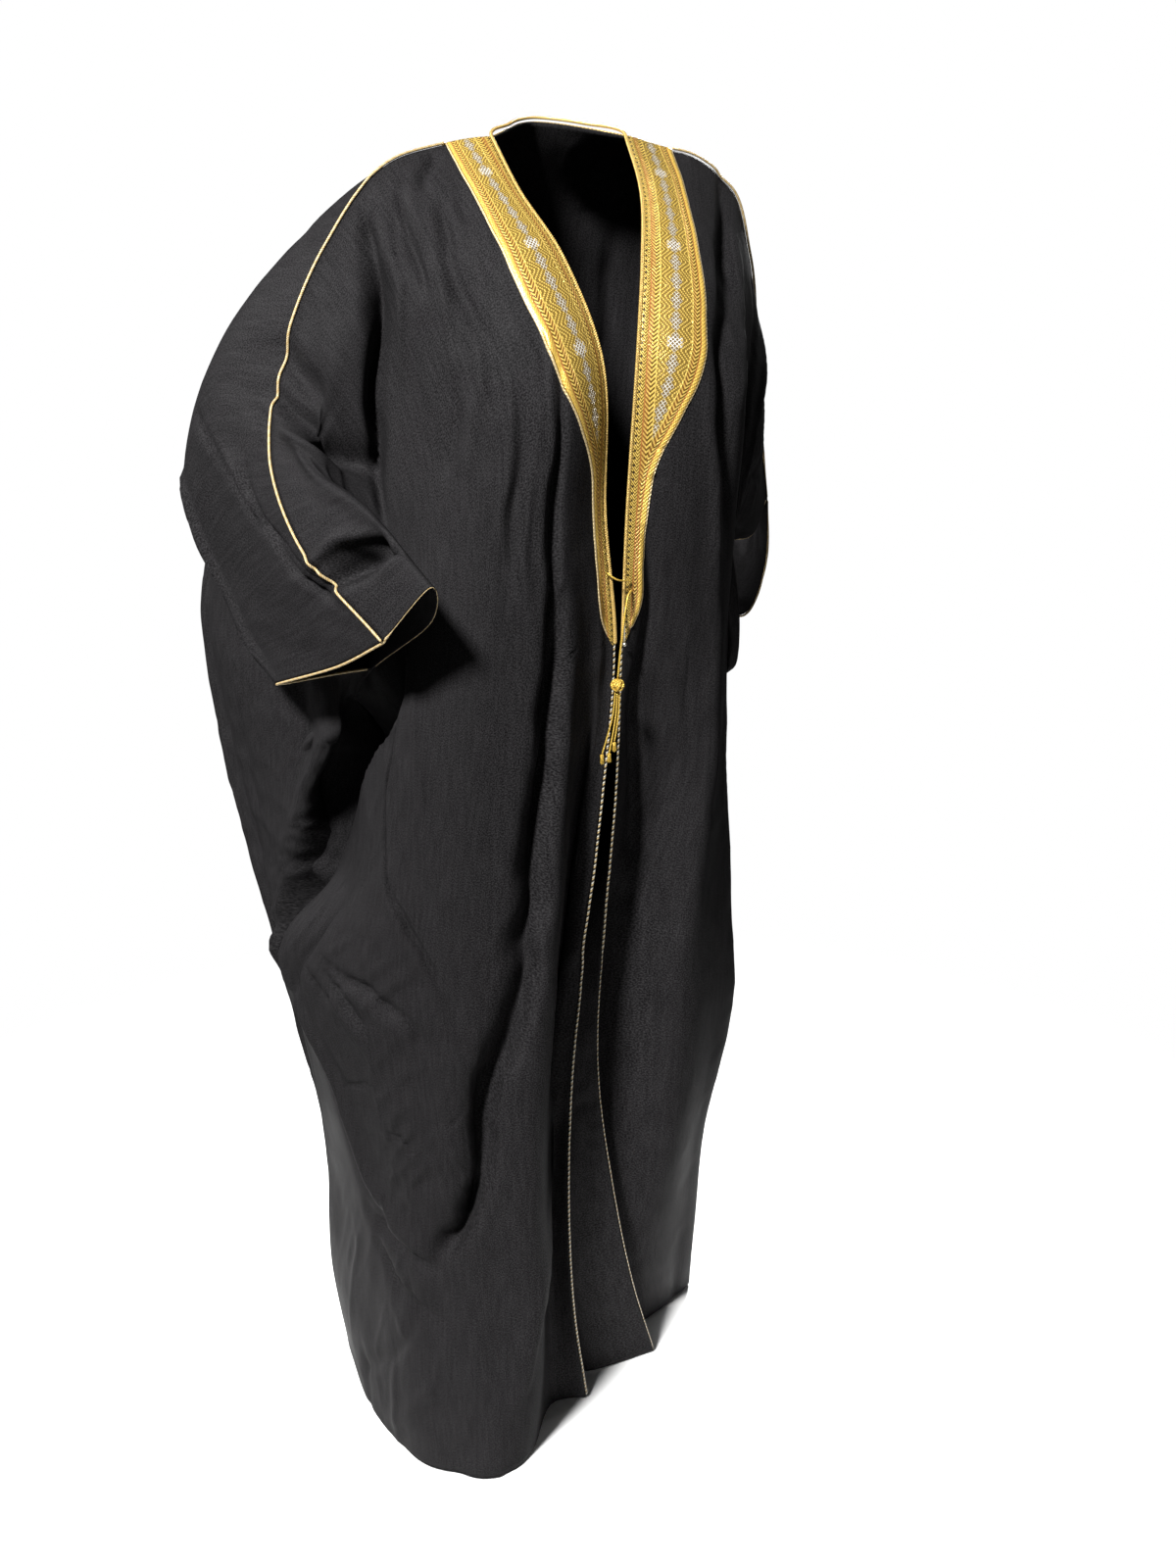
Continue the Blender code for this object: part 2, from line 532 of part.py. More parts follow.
lift = LAY_GAP + BAND_THICK / 2
reach = BAND_CORD_RADIUS + SEAM_GAP
rise_right = beside_edge(right, normals["right"], 0, reach, lift)[:BAND_ROWS]
rise_left = beside_edge(left, normals["left"], 0, reach, lift)[:BAND_ROWS]
neck_rim = slice(after_seam, after_seam + len(NECK_STEPS))
over_neck = back[0, neck_rim] + [0, 0, BAND_CORD_RADIUS + NECK_CORD_LIFT]
tube("band_cord", np.concatenate([rise_right[::-1], over_neck, rise_left]), BAND_CORD_RADIUS, gold)
for side, grid, outward in (("right", right, normals["right"]), ("left", left, normals["left"])):
    reach = EDGE_PIPING_RADIUS + SEAM_GAP
    edge = beside_edge(grid, outward, 0, reach, -CLOTH_THICK / 2)[BAND_ROWS:]
    tube("edge_piping_" + side, edge, EDGE_PIPING_RADIUS, silver_gold)
    over = grid[0, BAND_STEPS:] + outward[0, BAND_STEPS:] * (SEAM_PIPING_RADIUS + PIPING_LIFT)
    over[0] += unit(over[1] - over[0]) * PIPING_START
    tube("arm_piping_" + side, over, SEAM_PIPING_RADIUS, pale_gold)

for side, grid, edge in (("right", right, 0), ("left", left, -1)):
    around = cuff_route(grid, normals[side], back, normals["back"], edge)
    tube("cuff_piping_" + side, around, CUFF_PIPING_RADIUS, pale_gold)

for name, (radius, stops) in CORDS.items():
    tube(name, smooth_route(stops, CORD_SPACING), radius, gold_thread)
ball("closure_knot", KNOT_CENTRE, KNOT_RADIUS, gold_thread)
for number, tail in enumerate(TAILS, 1):
    tassel(f"closure_tassel_{number}", CORDS[tail][1][-1], silver_thread)
x, y, z = CORDS["closure_thread"][1][-1]
ball("closure_bead", (x, y, z - LAY_GAP - BEAD_RADIUS), BEAD_RADIUS, silver_thread)
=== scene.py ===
import math

import bpy
import numpy as np
from bpy.props import FloatProperty, FloatVectorProperty, PointerProperty
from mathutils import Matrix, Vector


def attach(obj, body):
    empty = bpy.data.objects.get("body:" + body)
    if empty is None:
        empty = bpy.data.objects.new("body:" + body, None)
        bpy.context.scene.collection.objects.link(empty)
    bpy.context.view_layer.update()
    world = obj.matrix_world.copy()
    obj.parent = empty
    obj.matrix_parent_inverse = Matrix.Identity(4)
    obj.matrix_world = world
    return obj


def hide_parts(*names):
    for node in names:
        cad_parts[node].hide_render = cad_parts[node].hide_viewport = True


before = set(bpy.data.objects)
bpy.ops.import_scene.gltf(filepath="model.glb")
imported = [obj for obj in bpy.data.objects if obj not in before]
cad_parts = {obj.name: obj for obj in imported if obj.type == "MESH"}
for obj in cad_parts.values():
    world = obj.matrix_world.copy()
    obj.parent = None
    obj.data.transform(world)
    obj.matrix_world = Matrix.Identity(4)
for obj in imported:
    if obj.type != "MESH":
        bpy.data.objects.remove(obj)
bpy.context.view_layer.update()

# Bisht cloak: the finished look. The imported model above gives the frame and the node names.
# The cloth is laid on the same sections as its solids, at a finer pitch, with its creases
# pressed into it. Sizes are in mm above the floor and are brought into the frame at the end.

bl_info = {
    "name": "Bisht Cloak",
    "version": (1, 0, 0),
    "blender": (4, 5, 0),
    "location": "View3D > Sidebar > Bisht",
    "description": "Makes the creased cloth, woven gold band and corded trims of a cloak",
    "category": "Add Mesh",
}

MM = 0.001
HELD_HEIGHT = 1450.0
BODY = "root"

# Sections of the cloth, as the solids have them: a row for each level, then a point for
# each column, in mm from the floor.
FRONT_RIGHT_COLUMNS = {"edge": 0, "strip": 24, "band": 56, "flank": 112, "arm": 205,
                       "elbow": 360, "forearm": 510, "side": 650}
FRONT_RIGHT = {
    "seam": (0, (-74, 0, 1450), (-96, 3, 1448), (-120, 6, 1443), (-178, 0, 1427),
             (-248, -8, 1352), (-318, -34, 1200), (-324, -115, 1100), (-277, -210, 1019)),
    "yoke": (80, (-75, -65, 1403), (-92, -68, 1403), (-118, -68, 1400), (-170, -62, 1380),
             (-232, -58, 1310), (-298, -85, 1180), (-280, -165, 1135), (-246, -250, 1074)),
    "chest": (180, (-58, -130, 1342), (-76, -137, 1341), (-106, -140, 1335), (-160, -124, 1305),
              (-206, -88, 1235), (-262, -95, 1130), (-248, -165, 1085), (-230, -208, 1030)),
    "bust": (270, (-40, -170, 1262), (-57, -182, 1260), (-86, -192, 1254), (-146, -175, 1225),
             (-198, -128, 1150), (-234, -98, 1065), (-246, -108, 1018), (-258, -122, 968)),
    "waist": (420, (-34, -170, 1105), (-54, -180, 1103), (-88, -196, 1098), (-150, -190, 1075),
              (-208, -160, 1030), (-240, -118, 975), (-250, -90, 900), (-255, -20, 880)),
    "hip": (560, (-20, -165, 971), (-42, -164, 970), (-82, -194, 965), (-155, -192, 945),
            (-220, -168, 915), (-258, -120, 880), (-255, -55, 845), (-262, 0, 815)),
    "thigh": (720, (-29, -157, 810), (-50, -142, 810), (-88, -194, 805), (-165, -190, 795),
              (-235, -166, 775), (-275, -112, 750), (-272, -50, 735), (-278, 8, 722)),
    "drape": (880, (-43, -150, 650), (-62, -128, 650), (-98, -194, 648), (-178, -188, 642),
              (-248, -160, 636), (-305, -100, 635), (-335, -45, 640), (-338, 20, 645)),
    "knee": (1050, (-56, -139, 480), (-72, -114, 480), (-108, -190, 480), (-180, -188, 478),
             (-240, -155, 475), (-280, -100, 472), (-300, -40, 474), (-298, 40, 478)),
    "shin": (1230, (-57, -130, 300), (-72, -104, 300), (-110, -182, 300), (-172, -180, 300),
             (-232, -142, 300), (-264, -80, 300), (-276, 0, 300), (-272, 85, 300)),
    "ankle": (1380, (-42, -113, 140), (-64, -92, 140), (-108, -170, 140), (-172, -182, 140),
              (-230, -144, 140), (-264, -80, 140), (-278, 5, 140), (-270, 100, 140)),
    "hem": (1510, (-19, -100, 4), (-60, -92, 4), (-112, -152, 4), (-165, -176, 4),
            (-222, -140, 4), (-252, -75, 4), (-262, 10, 4), (-252, 105, 4)),
}

FRONT_LEFT_COLUMNS = {"edge": 0, "turn": 42, "valley": 84, "panel": 130, "corner": 205,
                      "arm": 350, "side": 490}
FRONT_LEFT = {
    "seam": (0, (76, 0, 1452), (118, 4, 1442), (158, 0, 1432), (198, 0, 1404),
             (232, 14, 1335), (258, 34, 1200), (283, 42, 1062)),
    "yoke": (80, (60, -65, 1403), (95, -66, 1399), (130, -64, 1388), (168, -58, 1358),
             (205, -42, 1290), (234, -26, 1168), (232, -16, 1037)),
    "chest": (180, (30, -128, 1340), (68, -138, 1333), (105, -138, 1318), (142, -122, 1280),
              (170, -84, 1212), (184, -76, 1108), (172, -52, 1036)),
    "bust": (270, (8, -163, 1262), (48, -176, 1258), (90, -176, 1242), (130, -155, 1215),
             (150, -100, 1150), (154, -96, 1035), (152, -40, 992)),
    "waist": (420, (-6, -170, 1105), (35, -180, 1100), (75, -178, 1092), (115, -160, 1080),
              (150, -105, 1050), (166, -80, 930), (168, -10, 900)),
    "hip": (560, (-6, -160, 971), (32, -156, 970), (68, -162, 965), (108, -155, 960),
            (150, -98, 945), (176, -55, 862), (190, 15, 830)),
    "thigh": (720, (-4, -145, 810), (26, -120, 810), (58, -128, 808), (98, -148, 805),
              (152, -98, 795), (186, -35, 765), (198, 30, 745)),
    "drape": (880, (-12, -130, 650), (-32, -92, 650), (14, -82, 650), (75, -137, 648),
              (156, -98, 645), (192, -35, 642), (200, 40, 640)),
    "knee": (1050, (-8, -105, 470), (-48, -88, 470), (6, -62, 470), (68, -124, 470),
             (165, -88, 472), (202, -25, 474), (205, 45, 476)),
    "shin": (1230, (14, -100, 300), (-48, -92, 300), (0, -60, 300), (70, -105, 300),
             (148, -66, 300), (180, -5, 300), (185, 60, 300)),
    "ankle": (1380, (50, -85, 140), (-30, -78, 140), (12, -40, 140), (85, -52, 140),
              (158, -25, 140), (192, 20, 140), (195, 70, 140)),
    "hem": (1510, (96, -58, 4), (2, -56, 4), (40, -18, 4), (119, 2, 4),
            (180, 28, 4), (210, 52, 4), (212, 88, 4)),
}

BACK_COLUMNS = {"side right": 0, "forearm right": 150, "elbow right": 300, "arm right": 450,
                "blade right": 540, "neck right": 650, "middle": 730, "neck left": 810,
                "blade left": 895, "arm left": 1000, "elbow left": 1140, "side left": 1300}
BACK = {
    "seam": (0, (-277, -210, 1019), (-324, -115, 1100), (-318, -34, 1200), (-248, -8, 1352),
             (-178, 0, 1427), (-74, 0, 1450), (0, 58, 1466), (76, 0, 1452),
             (158, 0, 1432), (220, 9, 1360), (258, 34, 1200), (283, 42, 1062)),
    "yoke": (80, (-300, -150, 985), (-340, -60, 1070), (-350, 55, 1205), (-270, 70, 1338),
             (-180, 76, 1405), (-82, 90, 1418), (0, 98, 1412), (82, 90, 1418),
             (160, 76, 1405), (237, 63, 1322), (285, 88, 1152), (274, 26, 992)),
    "chest": (180, (-333, -50, 944), (-350, 40, 1000), (-367, 135, 1125), (-288, 130, 1268),
              (-185, 132, 1315), (-85, 135, 1330), (0, 132, 1325), (85, 135, 1330),
              (165, 132, 1315), (242, 112, 1230), (281, 98, 1085), (216, -20, 945)),
    "bust": (270, (-258, -122, 968), (-302, -15, 975), (-348, 125, 1045), (-285, 155, 1180),
             (-190, 160, 1225), (-88, 158, 1240), (0, 155, 1238), (88, 158, 1240),
             (165, 155, 1225), (230, 130, 1160), (262, 110, 1050), (152, -40, 992)),
    "waist": (420, (-255, -20, 880), (-287, -42, 888), (-352, 130, 945), (-292, 172, 1040),
              (-195, 180, 1075), (-90, 178, 1095), (0, 172, 1095), (90, 175, 1095),
              (160, 165, 1075), (212, 130, 1030), (232, 70, 960), (168, -10, 900)),
    "hip": (560, (-262, 0, 815), (-300, -15, 815), (-338, 125, 835), (-290, 175, 890),
            (-200, 188, 925), (-92, 186, 945), (0, 180, 950), (88, 180, 945),
            (155, 165, 925), (202, 120, 890), (215, 65, 850), (190, 15, 830)),
    "thigh": (720, (-278, 8, 722), (-308, 5, 724), (-324, 112, 735), (-282, 172, 760),
              (-198, 190, 785), (-95, 190, 800), (0, 185, 805), (85, 182, 800),
              (150, 165, 785), (195, 120, 765), (210, 72, 750), (198, 30, 745)),
    "drape": (880, (-338, 20, 645), (-326, 55, 645), (-312, 100, 646), (-272, 160, 648),
              (-195, 188, 650), (-95, 192, 652), (0, 188, 652), (85, 184, 652),
              (148, 166, 650), (192, 125, 648), (210, 80, 644), (200, 40, 640)),
    "knee": (1050, (-298, 40, 478), (-294, 75, 478), (-280, 112, 478), (-245, 158, 478),
             (-180, 188, 478), (-90, 196, 478), (0, 192, 478), (85, 186, 478),
             (146, 168, 478), (190, 128, 477), (210, 84, 476), (205, 45, 476)),
    "shin": (1230, (-272, 85, 300), (-266, 110, 300), (-250, 140, 300), (-220, 168, 300),
             (-168, 190, 300), (-88, 198, 300), (0, 194, 300), (80, 188, 300),
             (138, 170, 300), (178, 136, 300), (192, 98, 300), (185, 60, 300)),
    "ankle": (1380, (-270, 100, 140), (-264, 122, 140), (-248, 148, 140), (-216, 172, 140),
              (-162, 192, 140), (-86, 200, 140), (0, 196, 140), (80, 190, 140),
              (138, 174, 140), (180, 142, 140), (198, 105, 140), (195, 70, 140)),
    "hem": (1510, (-252, 105, 4), (-248, 126, 4), (-236, 150, 4), (-208, 174, 4),
            (-158, 194, 4), (-86, 202, 4), (0, 198, 4), (80, 192, 4),
            (140, 178, 4), (186, 150, 4), (210, 118, 4), (212, 88, 4)),
}

# Width of the gold band at each distance down the front edge.
BAND_WIDTH = {0: 54, 80: 60, 180: 64, 243: 66, 270: 65, 300: 58, 330: 44, 372: 24, 420: 19,
              470: 18, 526: 17, 550: 5, 557: 1}
BAND_LINE = (tuple(BAND_WIDTH), tuple(BAND_WIDTH.values()))
BAND_DOWN = max(BAND_WIDTH)

RIGHT_ACROSS = FRONT_RIGHT_COLUMNS["side"]
LEFT_ACROSS = FRONT_LEFT_COLUMNS["side"]
BACK_ACROSS = BACK_COLUMNS["side left"]
CLOTH_DOWN = FRONT_RIGHT["hem"][0]
CUFF_DOWN = FRONT_RIGHT["bust"][0]
NECK_RIGHT = BACK_COLUMNS["neck right"]
NECK_LEFT = BACK_COLUMNS["neck left"]
NECK_MIDDLE = BACK_COLUMNS["middle"]

# Creases pressed into the cloth. Each runs along a smooth line through its stops, which are
# places on the flat cloth, mm down from the seam and mm across. Half width is in mm, height
# is above the cloth for a ridge and below it for a trough, and lean makes one bank steeper.
CREASE_COLUMNS = ("stops", "half_width", "height", "lean")
CREASES = {
    "right": {
        "swag panel edge": (
            ((1235, 390), (1268, 322), (1290, 248), (1304, 200), (1306, 160)), 9, -6, 0.3),
        "forearm top": (((16, 368), (69, 362), (111, 356), (150, 344)), 9, 6, 0.3),
        "above the forearm": (
            ((-5, 334), (24, 344), (60, 343), (105, 339), (140, 331), (185, 306), (222, 288)),
            15, -34, -0.4),
        "under the arm": (
            ((330, 560), (430, 520), (520, 500), (600, 560), (690, 620), (790, 620), (900, 630)),
            36, -16, 0),
        "front ridge": (
            ((440, 24), (525, 20), (615, 17), (705, 13), (798, 9), (888, 8), (987, 11), (1086, 16),
             (1194, 28), (1300, 60), (1440, 92)), 13, 14, 0.4),
        "main valley": (
            ((470, 62), (540, 63), (624, 69), (690, 74), (759, 77), (825, 79), (879, 81), (924, 87),
             (969, 95), (1014, 103), (1062, 109), (1113, 113), (1167, 131), (1206, 150), (1234, 180)),
            10, -38, 0.3),
        "main valley foot": (
            ((940, 100), (1010, 112), (1090, 120), (1170, 138), (1215, 160), (1240, 200)),
            17, -10, 0.3),
        "groove": (((268, 61), (357, 66), (417, 65), (498, 69), (575, 73), (640, 84)), 4.6, -12, 0.2),
        "swag pocket": (((1130, 122), (1190, 148), (1228, 196)), 17, -17, 0.2),
        "swag lip": (
            ((872, 610), (925, 534), (1000, 474), (1070, 440), (1135, 398), (1185, 326), (1212, 246),
             (1228, 168)), 17, 10, -0.3),
        "under the lip": (
            ((930, 586), (962, 552), (1030, 496), (1098, 464), (1162, 420), (1208, 342), (1233, 252),
             (1244, 176)), 15, -4, 0.3),
        "swag second": (
            ((1196, 424), (1212, 374), (1222, 306), (1231, 240), (1240, 200), (1248, 166)),
            10, -6, 0.35),
        "swag fan": (((1165, 350), (1225, 290), (1320, 225)), 9, -4, 0),
        "crook": (
            ((24, 156), (66, 176), (95, 188), (123, 208), (150, 236), (186, 264), (213, 292),
             (250, 318)), 14, -26, 0),
        "crook groove": (
            ((60, 176), (95, 188), (123, 208), (150, 238), (186, 265), (225, 304)), 5, -10, 0),
        "crook pocket": (((70, 168), (95, 175), (125, 184)), 8, -5, 0),
        "elbow hollow": (
            ((-6, 304), (10, 304), (40, 306), (80, 302), (150, 300), (215, 300)), 20, -24, 0.1),
        "forearm crease": (((-5, 572), (15, 576), (36, 579), (60, 579), (95, 586)), 17, -34, -0.45),
        "forearm lap": (((-14, 544), (18, 541), (36, 543), (57, 554), (92, 572)), 8, 9, -0.4),
        "forearm ridge": (((30, 335), (60, 400), (70, 470), (88, 560)), 13, 4, 0),
        "forearm dent": (((30, 380), (40, 440), (36, 500)), 14, -3, 0),
        "neck crease": (((8, 62), (24, 78), (36, 90), (56, 97)), 5, -7.5, 0.2),
        "shoulder trough": (
            ((22, 108), (42, 120), (60, 126), (90, 132), (123, 133), (156, 140)), 7, -9, 0.2),
        "shoulder lap": (((30, 146), (48, 140), (66, 142), (87, 149), (114, 159)), 3.8, -6.8, -0.3),
        "shoulder ridge": (((70, 148), (87, 154), (117, 166), (150, 186), (190, 208)), 5, 5.2, 0),
        "arm nick": (((5, 151), (20, 158), (30, 160), (44, 168)), 3.6, -4.8, 0),
        "breast trough": (
            ((70, 84), (105, 97), (132, 106), (168, 107), (201, 105), (238, 102)), 8.5, -9.8, 0.2),
        "breast ridge": (((85, 98), (129, 113), (159, 120), (192, 130), (240, 150)), 6, 5.2, 0),
        "band dimple": (((66, 68), (81, 71), (115, 79)), 6, -4.5, 0),
        "breast fold 1": (((235, 60), (273, 70), (339, 76), (396, 77), (470, 79)), 4, 4.8, 0),
        "breast fold 2": (
            ((225, 80), (285, 83), (336, 86), (384, 88), (423, 91), (475, 92)), 4.5, 4.5, 0),
        "breast fold 3": (((222, 98), (261, 100), (309, 106), (363, 112), (420, 114)), 5, 4.5, 0),
        "breast fold 4": (((215, 112), (252, 122), (270, 138), (303, 154), (340, 166)), 6, 4.5, 0),
        "side trough": (((225, 138), (246, 150), (276, 170), (312, 192)), 7, -6, 0),
        "between folds": (((250, 92), (320, 98), (400, 102), (460, 104)), 4.5, -3.3, 0),
        "knuckle crease": (((370, 138), (402, 131), (430, 125)), 3.4, -2.2, 0.3),
        "knuckle dent": (((395, 122), (430, 112), (475, 106)), 5, -2.5, 0),
        "strip nick": (((578, 68), (596, 65), (612, 63)), 3, -1.8, 0),
        "long crease": (
            ((520, 280), (640, 300), (732, 266), (786, 218), (822, 192), (861, 164), (894, 146),
             (930, 131)), 4.8, -7.2, 0.45),
        "long bank": (((700, 292), (770, 244), (840, 192), (900, 156)), 10, 3.6, 0),
        "curved crease": (
            ((855, 420), (876, 352), (885, 288), (900, 246), (918, 214), (942, 192), (962, 178)),
            4.8, -7.6, -0.45),
        "curved bank": (((880, 380), (905, 290), (930, 230), (965, 196)), 9, 4.5, 0),
        "third crease": (((866, 425), (900, 354), (918, 328), (936, 306), (975, 292)), 5, -7.2, -0.4),
        "third bank": (((890, 420), (925, 352), (950, 318), (985, 300)), 8, 3.9, 0),
        "short crease": (((872, 462), (892, 432), (905, 404), (918, 366)), 4.3, -5.8, 0.3),
        "level crease": (((1030, 440), (1016, 390), (1012, 340), (1016, 300)), 4.2, -3.6, 0.3),
        "small crease": (((1064, 290), (1083, 228), (1094, 210)), 4.8, -3.4, 0.3),
        "bank nick": (((1052, 160), (1044, 150), (1036, 138)), 3.5, -2.4, 0),
        "hip crease": (((515, 330), (560, 300), (640, 262), (730, 208), (800, 168)), 13, -3.2, 0),
        "hip fall": (((470, 250), (560, 232), (640, 210), (700, 186)), 10, 2.6, 0),
        "flank fold": (((760, 420), (840, 452), (905, 500), (960, 560)), 12, -7.5, 0.2),
        "flank ridge": (((740, 470), (830, 500), (900, 556)), 13, 6, 0),
        "fan 1": (((1285, 204), (1340, 270), (1400, 390), (1470, 520)), 13, -6, 0.2),
        "fan 2": (((1300, 150), (1380, 200), (1450, 300), (1500, 420)), 14, 4.5, 0),
        "hem fold": (((1400, 120), (1460, 150), (1520, 190)), 15, -4, 0),
        "hem ridge": (((1330, 96), (1430, 106), (1520, 116)), 12, 3.5, 0),
        "hem wave 1": (((1380, 330), (1450, 350), (1520, 372)), 16, 3.5, 0),
        "hem wave 2": (((1400, 470), (1460, 486), (1520, 500)), 15, -4, 0),
    },
    "left": {
        "sleeve hollow": (
            ((-10, 116), (66, 118), (126, 110), (183, 100), (231, 93), (273, 92), (312, 94), (348, 102),
             (420, 120)), 15, -17, 0.3),
        "waist valley": (
            ((430, 17), (483, 27), (531, 33), (570, 31), (603, 23), (660, 30), (741, 58), (801, 86),
             (870, 104), (939, 112), (1040, 116), (1120, 114)), 10, -13, 0.1),
        "corner ridge": (((250, 66), (330, 84), (420, 100), (600, 130), (760, 160)), 14, 4, 0),
        "panel ridge": (((290, 69), (385, 90), (495, 118)), 8, 3, 0),
        "under-arm fold": (((330, 290), (700, 320), (1300, 330)), 24, -14, 0),
        "tail nick 1": (((358, 16), (359, 24), (356, 38)), 2.8, -2, 0.3),
        "tail nick 2": (((385, 16), (386, 26), (382, 40)), 3, -2.2, -0.3),
        "tail nick 3": (((536, 2), (545, 12), (552, 24)), 2.8, -1.8, 0),
        "panel crease": (((560, 86), (600, 90), (650, 100), (702, 108), (740, 112)), 3.2, -1.8, 0.3),
        "panel fall": (((560, 150), (800, 146), (1050, 140), (1300, 138)), 16, 3.5, 0),
        "panel dip": (((620, 120), (850, 124), (1100, 112)), 10, -3, 0),
        "breast rise": (((60, 146), (150, 140), (240, 130), (300, 124)), 12, 4, 0),
        "arm crease": (((120, 150), (170, 158), (240, 164)), 7, -4.5, 0.2),
        "sleeve fall": (((40, 210), (130, 240), (230, 262)), 14, -6, 0),
        "sleeve rise": (((30, 260), (110, 300), (190, 330)), 13, 5, 0),
        "cuff crease": (((150, 360), (120, 400), (60, 440)), 9, -5, 0.3),
        "cuff fold": (((215, 420), (180, 450), (120, 486)), 9, -4, 0),
        "turned crease": (((900, 10), (1000, 24), (1130, 20), (1260, 30)), 4, -2.2, 0.3),
        "turned crease 2": (((1080, 6), (1150, 30), (1240, 44)), 4, 2, 0),
        "hem wave": (((1360, 190), (1440, 196), (1520, 200)), 16, -4, 0),
        "hem wave 2": (((1390, 118), (1450, 122), (1520, 124)), 13, 3, 0),
    },
    "back": {
        "below the hem": (((200, 214), (194, 150), (192, 90), (196, 20)), 7, -13, -0.3),
        "swag head": (((872, 190), (905, 110), (926, 34), (944, -50)), 30, 10, 0),
        "beside the seam": (
            ((10, 40), (30, 94), (40, 122), (46, 150), (50, 174), (50, 214), (44, 250)), 7, -7, 0),
        "valley notch": (((818, 10), (852, 48), (880, 96), (900, 160), (912, 230)), 24, -11, 0),
        "valley edge": (
            ((395, 106), (447, 146), (495, 150), (588, 158), (675, 182), (735, 190), (790, 168),
             (840, 130)), 11, 10, 0.6),
        "elbow crease": (((129, 322), (72, 228), (60, 182), (39, 162), (24, 124), (8, 84)), 6, -8, 0.3),
        "elbow lap": (((128, 306), (92, 262), (66, 226), (54, 176), (44, 124)), 9, 4.5, 0),
        "upper crease": (((36, 306), (14, 292), (-4, 274)), 5, -6, 0.3),
        "sleeve hem fold": (
            ((190, 318), (172, 290), (162, 210), (160, 140), (163, 60), (166, -6)), 7, 9, 0.5),
        "under the sleeve": (((222, 322), (200, 280), (190, 200), (188, 130), (194, 50)), 8, -8, -0.3),
        "drape ridge": (((330, 96), (400, 102), (545, 93), (710, 132), (815, 104)), 13, 6, 0),
        "drape back ridge": (((290, 176), (420, 182), (560, 170), (720, 196)), 15, -9, 0),
        "cuff shade dent": (((300, 60), (345, 80), (400, 84)), 10, -3.5, 0),
        "elbow fall": (((190, 380), (700, 400), (1350, 420)), 28, -30, 0),
        "elbow fall 2": (((260, 340), (600, 330), (1000, 318), (1400, 300)), 15, 15, 0.2),
        "drape small 1": (((420, 240), (520, 262), (640, 262), (760, 240)), 9, -4, 0),
        "drape small 2": (((600, 130), (640, 170), (700, 226)), 6, -3, 0.3),
        "drape small 3": (((520, 60), (560, 96), (640, 150)), 6, -3, -0.3),
        "blade fall": (((130, 520), (760, 530), (1520, 520)), 26, -32, 0),
        "blade crease": (((60, 470), (150, 492), (260, 500), (380, 486)), 9, -5, 0.2),
        "blade rise": (((70, 566), (300, 580), (700, 590), (1300, 580)), 15, 14, 0),
        "right middle": (((420, 660), (900, 650), (1520, 640)), 24, 20, 0),
        "middle": (((180, 700), (500, 712), (900, 716), (1300, 722)), 15, -22, 0.15),
        "left middle": (((260, 800), (860, 790), (1520, 800)), 26, -28, 0),
        "left rise": (((130, 850), (420, 862), (900, 856), (1400, 862)), 14, 15, 0),
        "left blade fall": (((120, 930), (700, 930), (1520, 915)), 24, -32, 0),
        "left blade rise": (((90, 980), (400, 996), (800, 990), (1200, 976)), 14, 15, 0),
        "left arm fall": (((280, 1075), (760, 1060), (1500, 1040)), 22, 18, 0),
        "left arm crease": (((60, 1030), (140, 1060), (240, 1110), (300, 1170)), 9, -6, 0.25),
        "left cuff fold": (((60, 1180), (130, 1210), (210, 1250)), 10, -5, 0),
        "side fall": (((330, 1190), (800, 1180), (1370, 1190)), 20, -26, 0),
        "yoke crease 1": (((14, 690), (60, 682), (120, 660)), 8, -6, 0.2),
        "yoke crease 2": (((16, 772), (70, 784), (130, 812)), 8, -6, -0.2),
        "yoke crease 3": (((20, 620), (90, 606), (180, 560)), 8, -6.5, 0.2),
        "yoke crease 4": (((22, 850), (90, 880), (190, 910)), 9, -6.5, 0),
        "hem wave 1": (((1300, 120), (1420, 126), (1520, 130)), 16, -9, 0),
        "hem wave 2": (((1280, 240), (1400, 236), (1520, 230)), 16, 5, 0),
        "hem wave 3": (((1200, 600), (1380, 606), (1520, 604)), 14, -9, 0),
        "hem wave 4": (((1240, 760), (1400, 752), (1520, 748)), 15, 5, 0),
        "hem wave 5": (((1180, 980), (1360, 984), (1520, 990)), 15, 8, 0),
        "hem wave 6": (((1250, 1120), (1400, 1116), (1520, 1110)), 14, -5, 0),
    },
}

# Where the cloth falls in under the right sleeve: the depth at each level, then for each piece
# the place across it where the fall begins at each level, and the width of the bank.
FALL_DEPTHS = (
    (340, 400, 450, 500, 600, 700, 780, 830, 880, 930, 975),
    (0, 22, 45, 56, 62, 72, 92, 96, 88, 44, 0),
)
FALL_EDGES = {
    "right": ((340, 400, 450, 500, 530, 560, 590, 620, 660, 700, 780, 830, 880, 930),
              (300, 285, 270, 262, 285, 380, 470, 540, 590, 600, 590, 575, 580, 600), 60),
    "back": ((340, 385, 447, 495, 543, 588, 630, 675, 723, 777, 822, 873, 930),
             (60, 92, 130, 134, 134, 142, 154, 166, 176, 166, 140, 112, 90), -22),
}

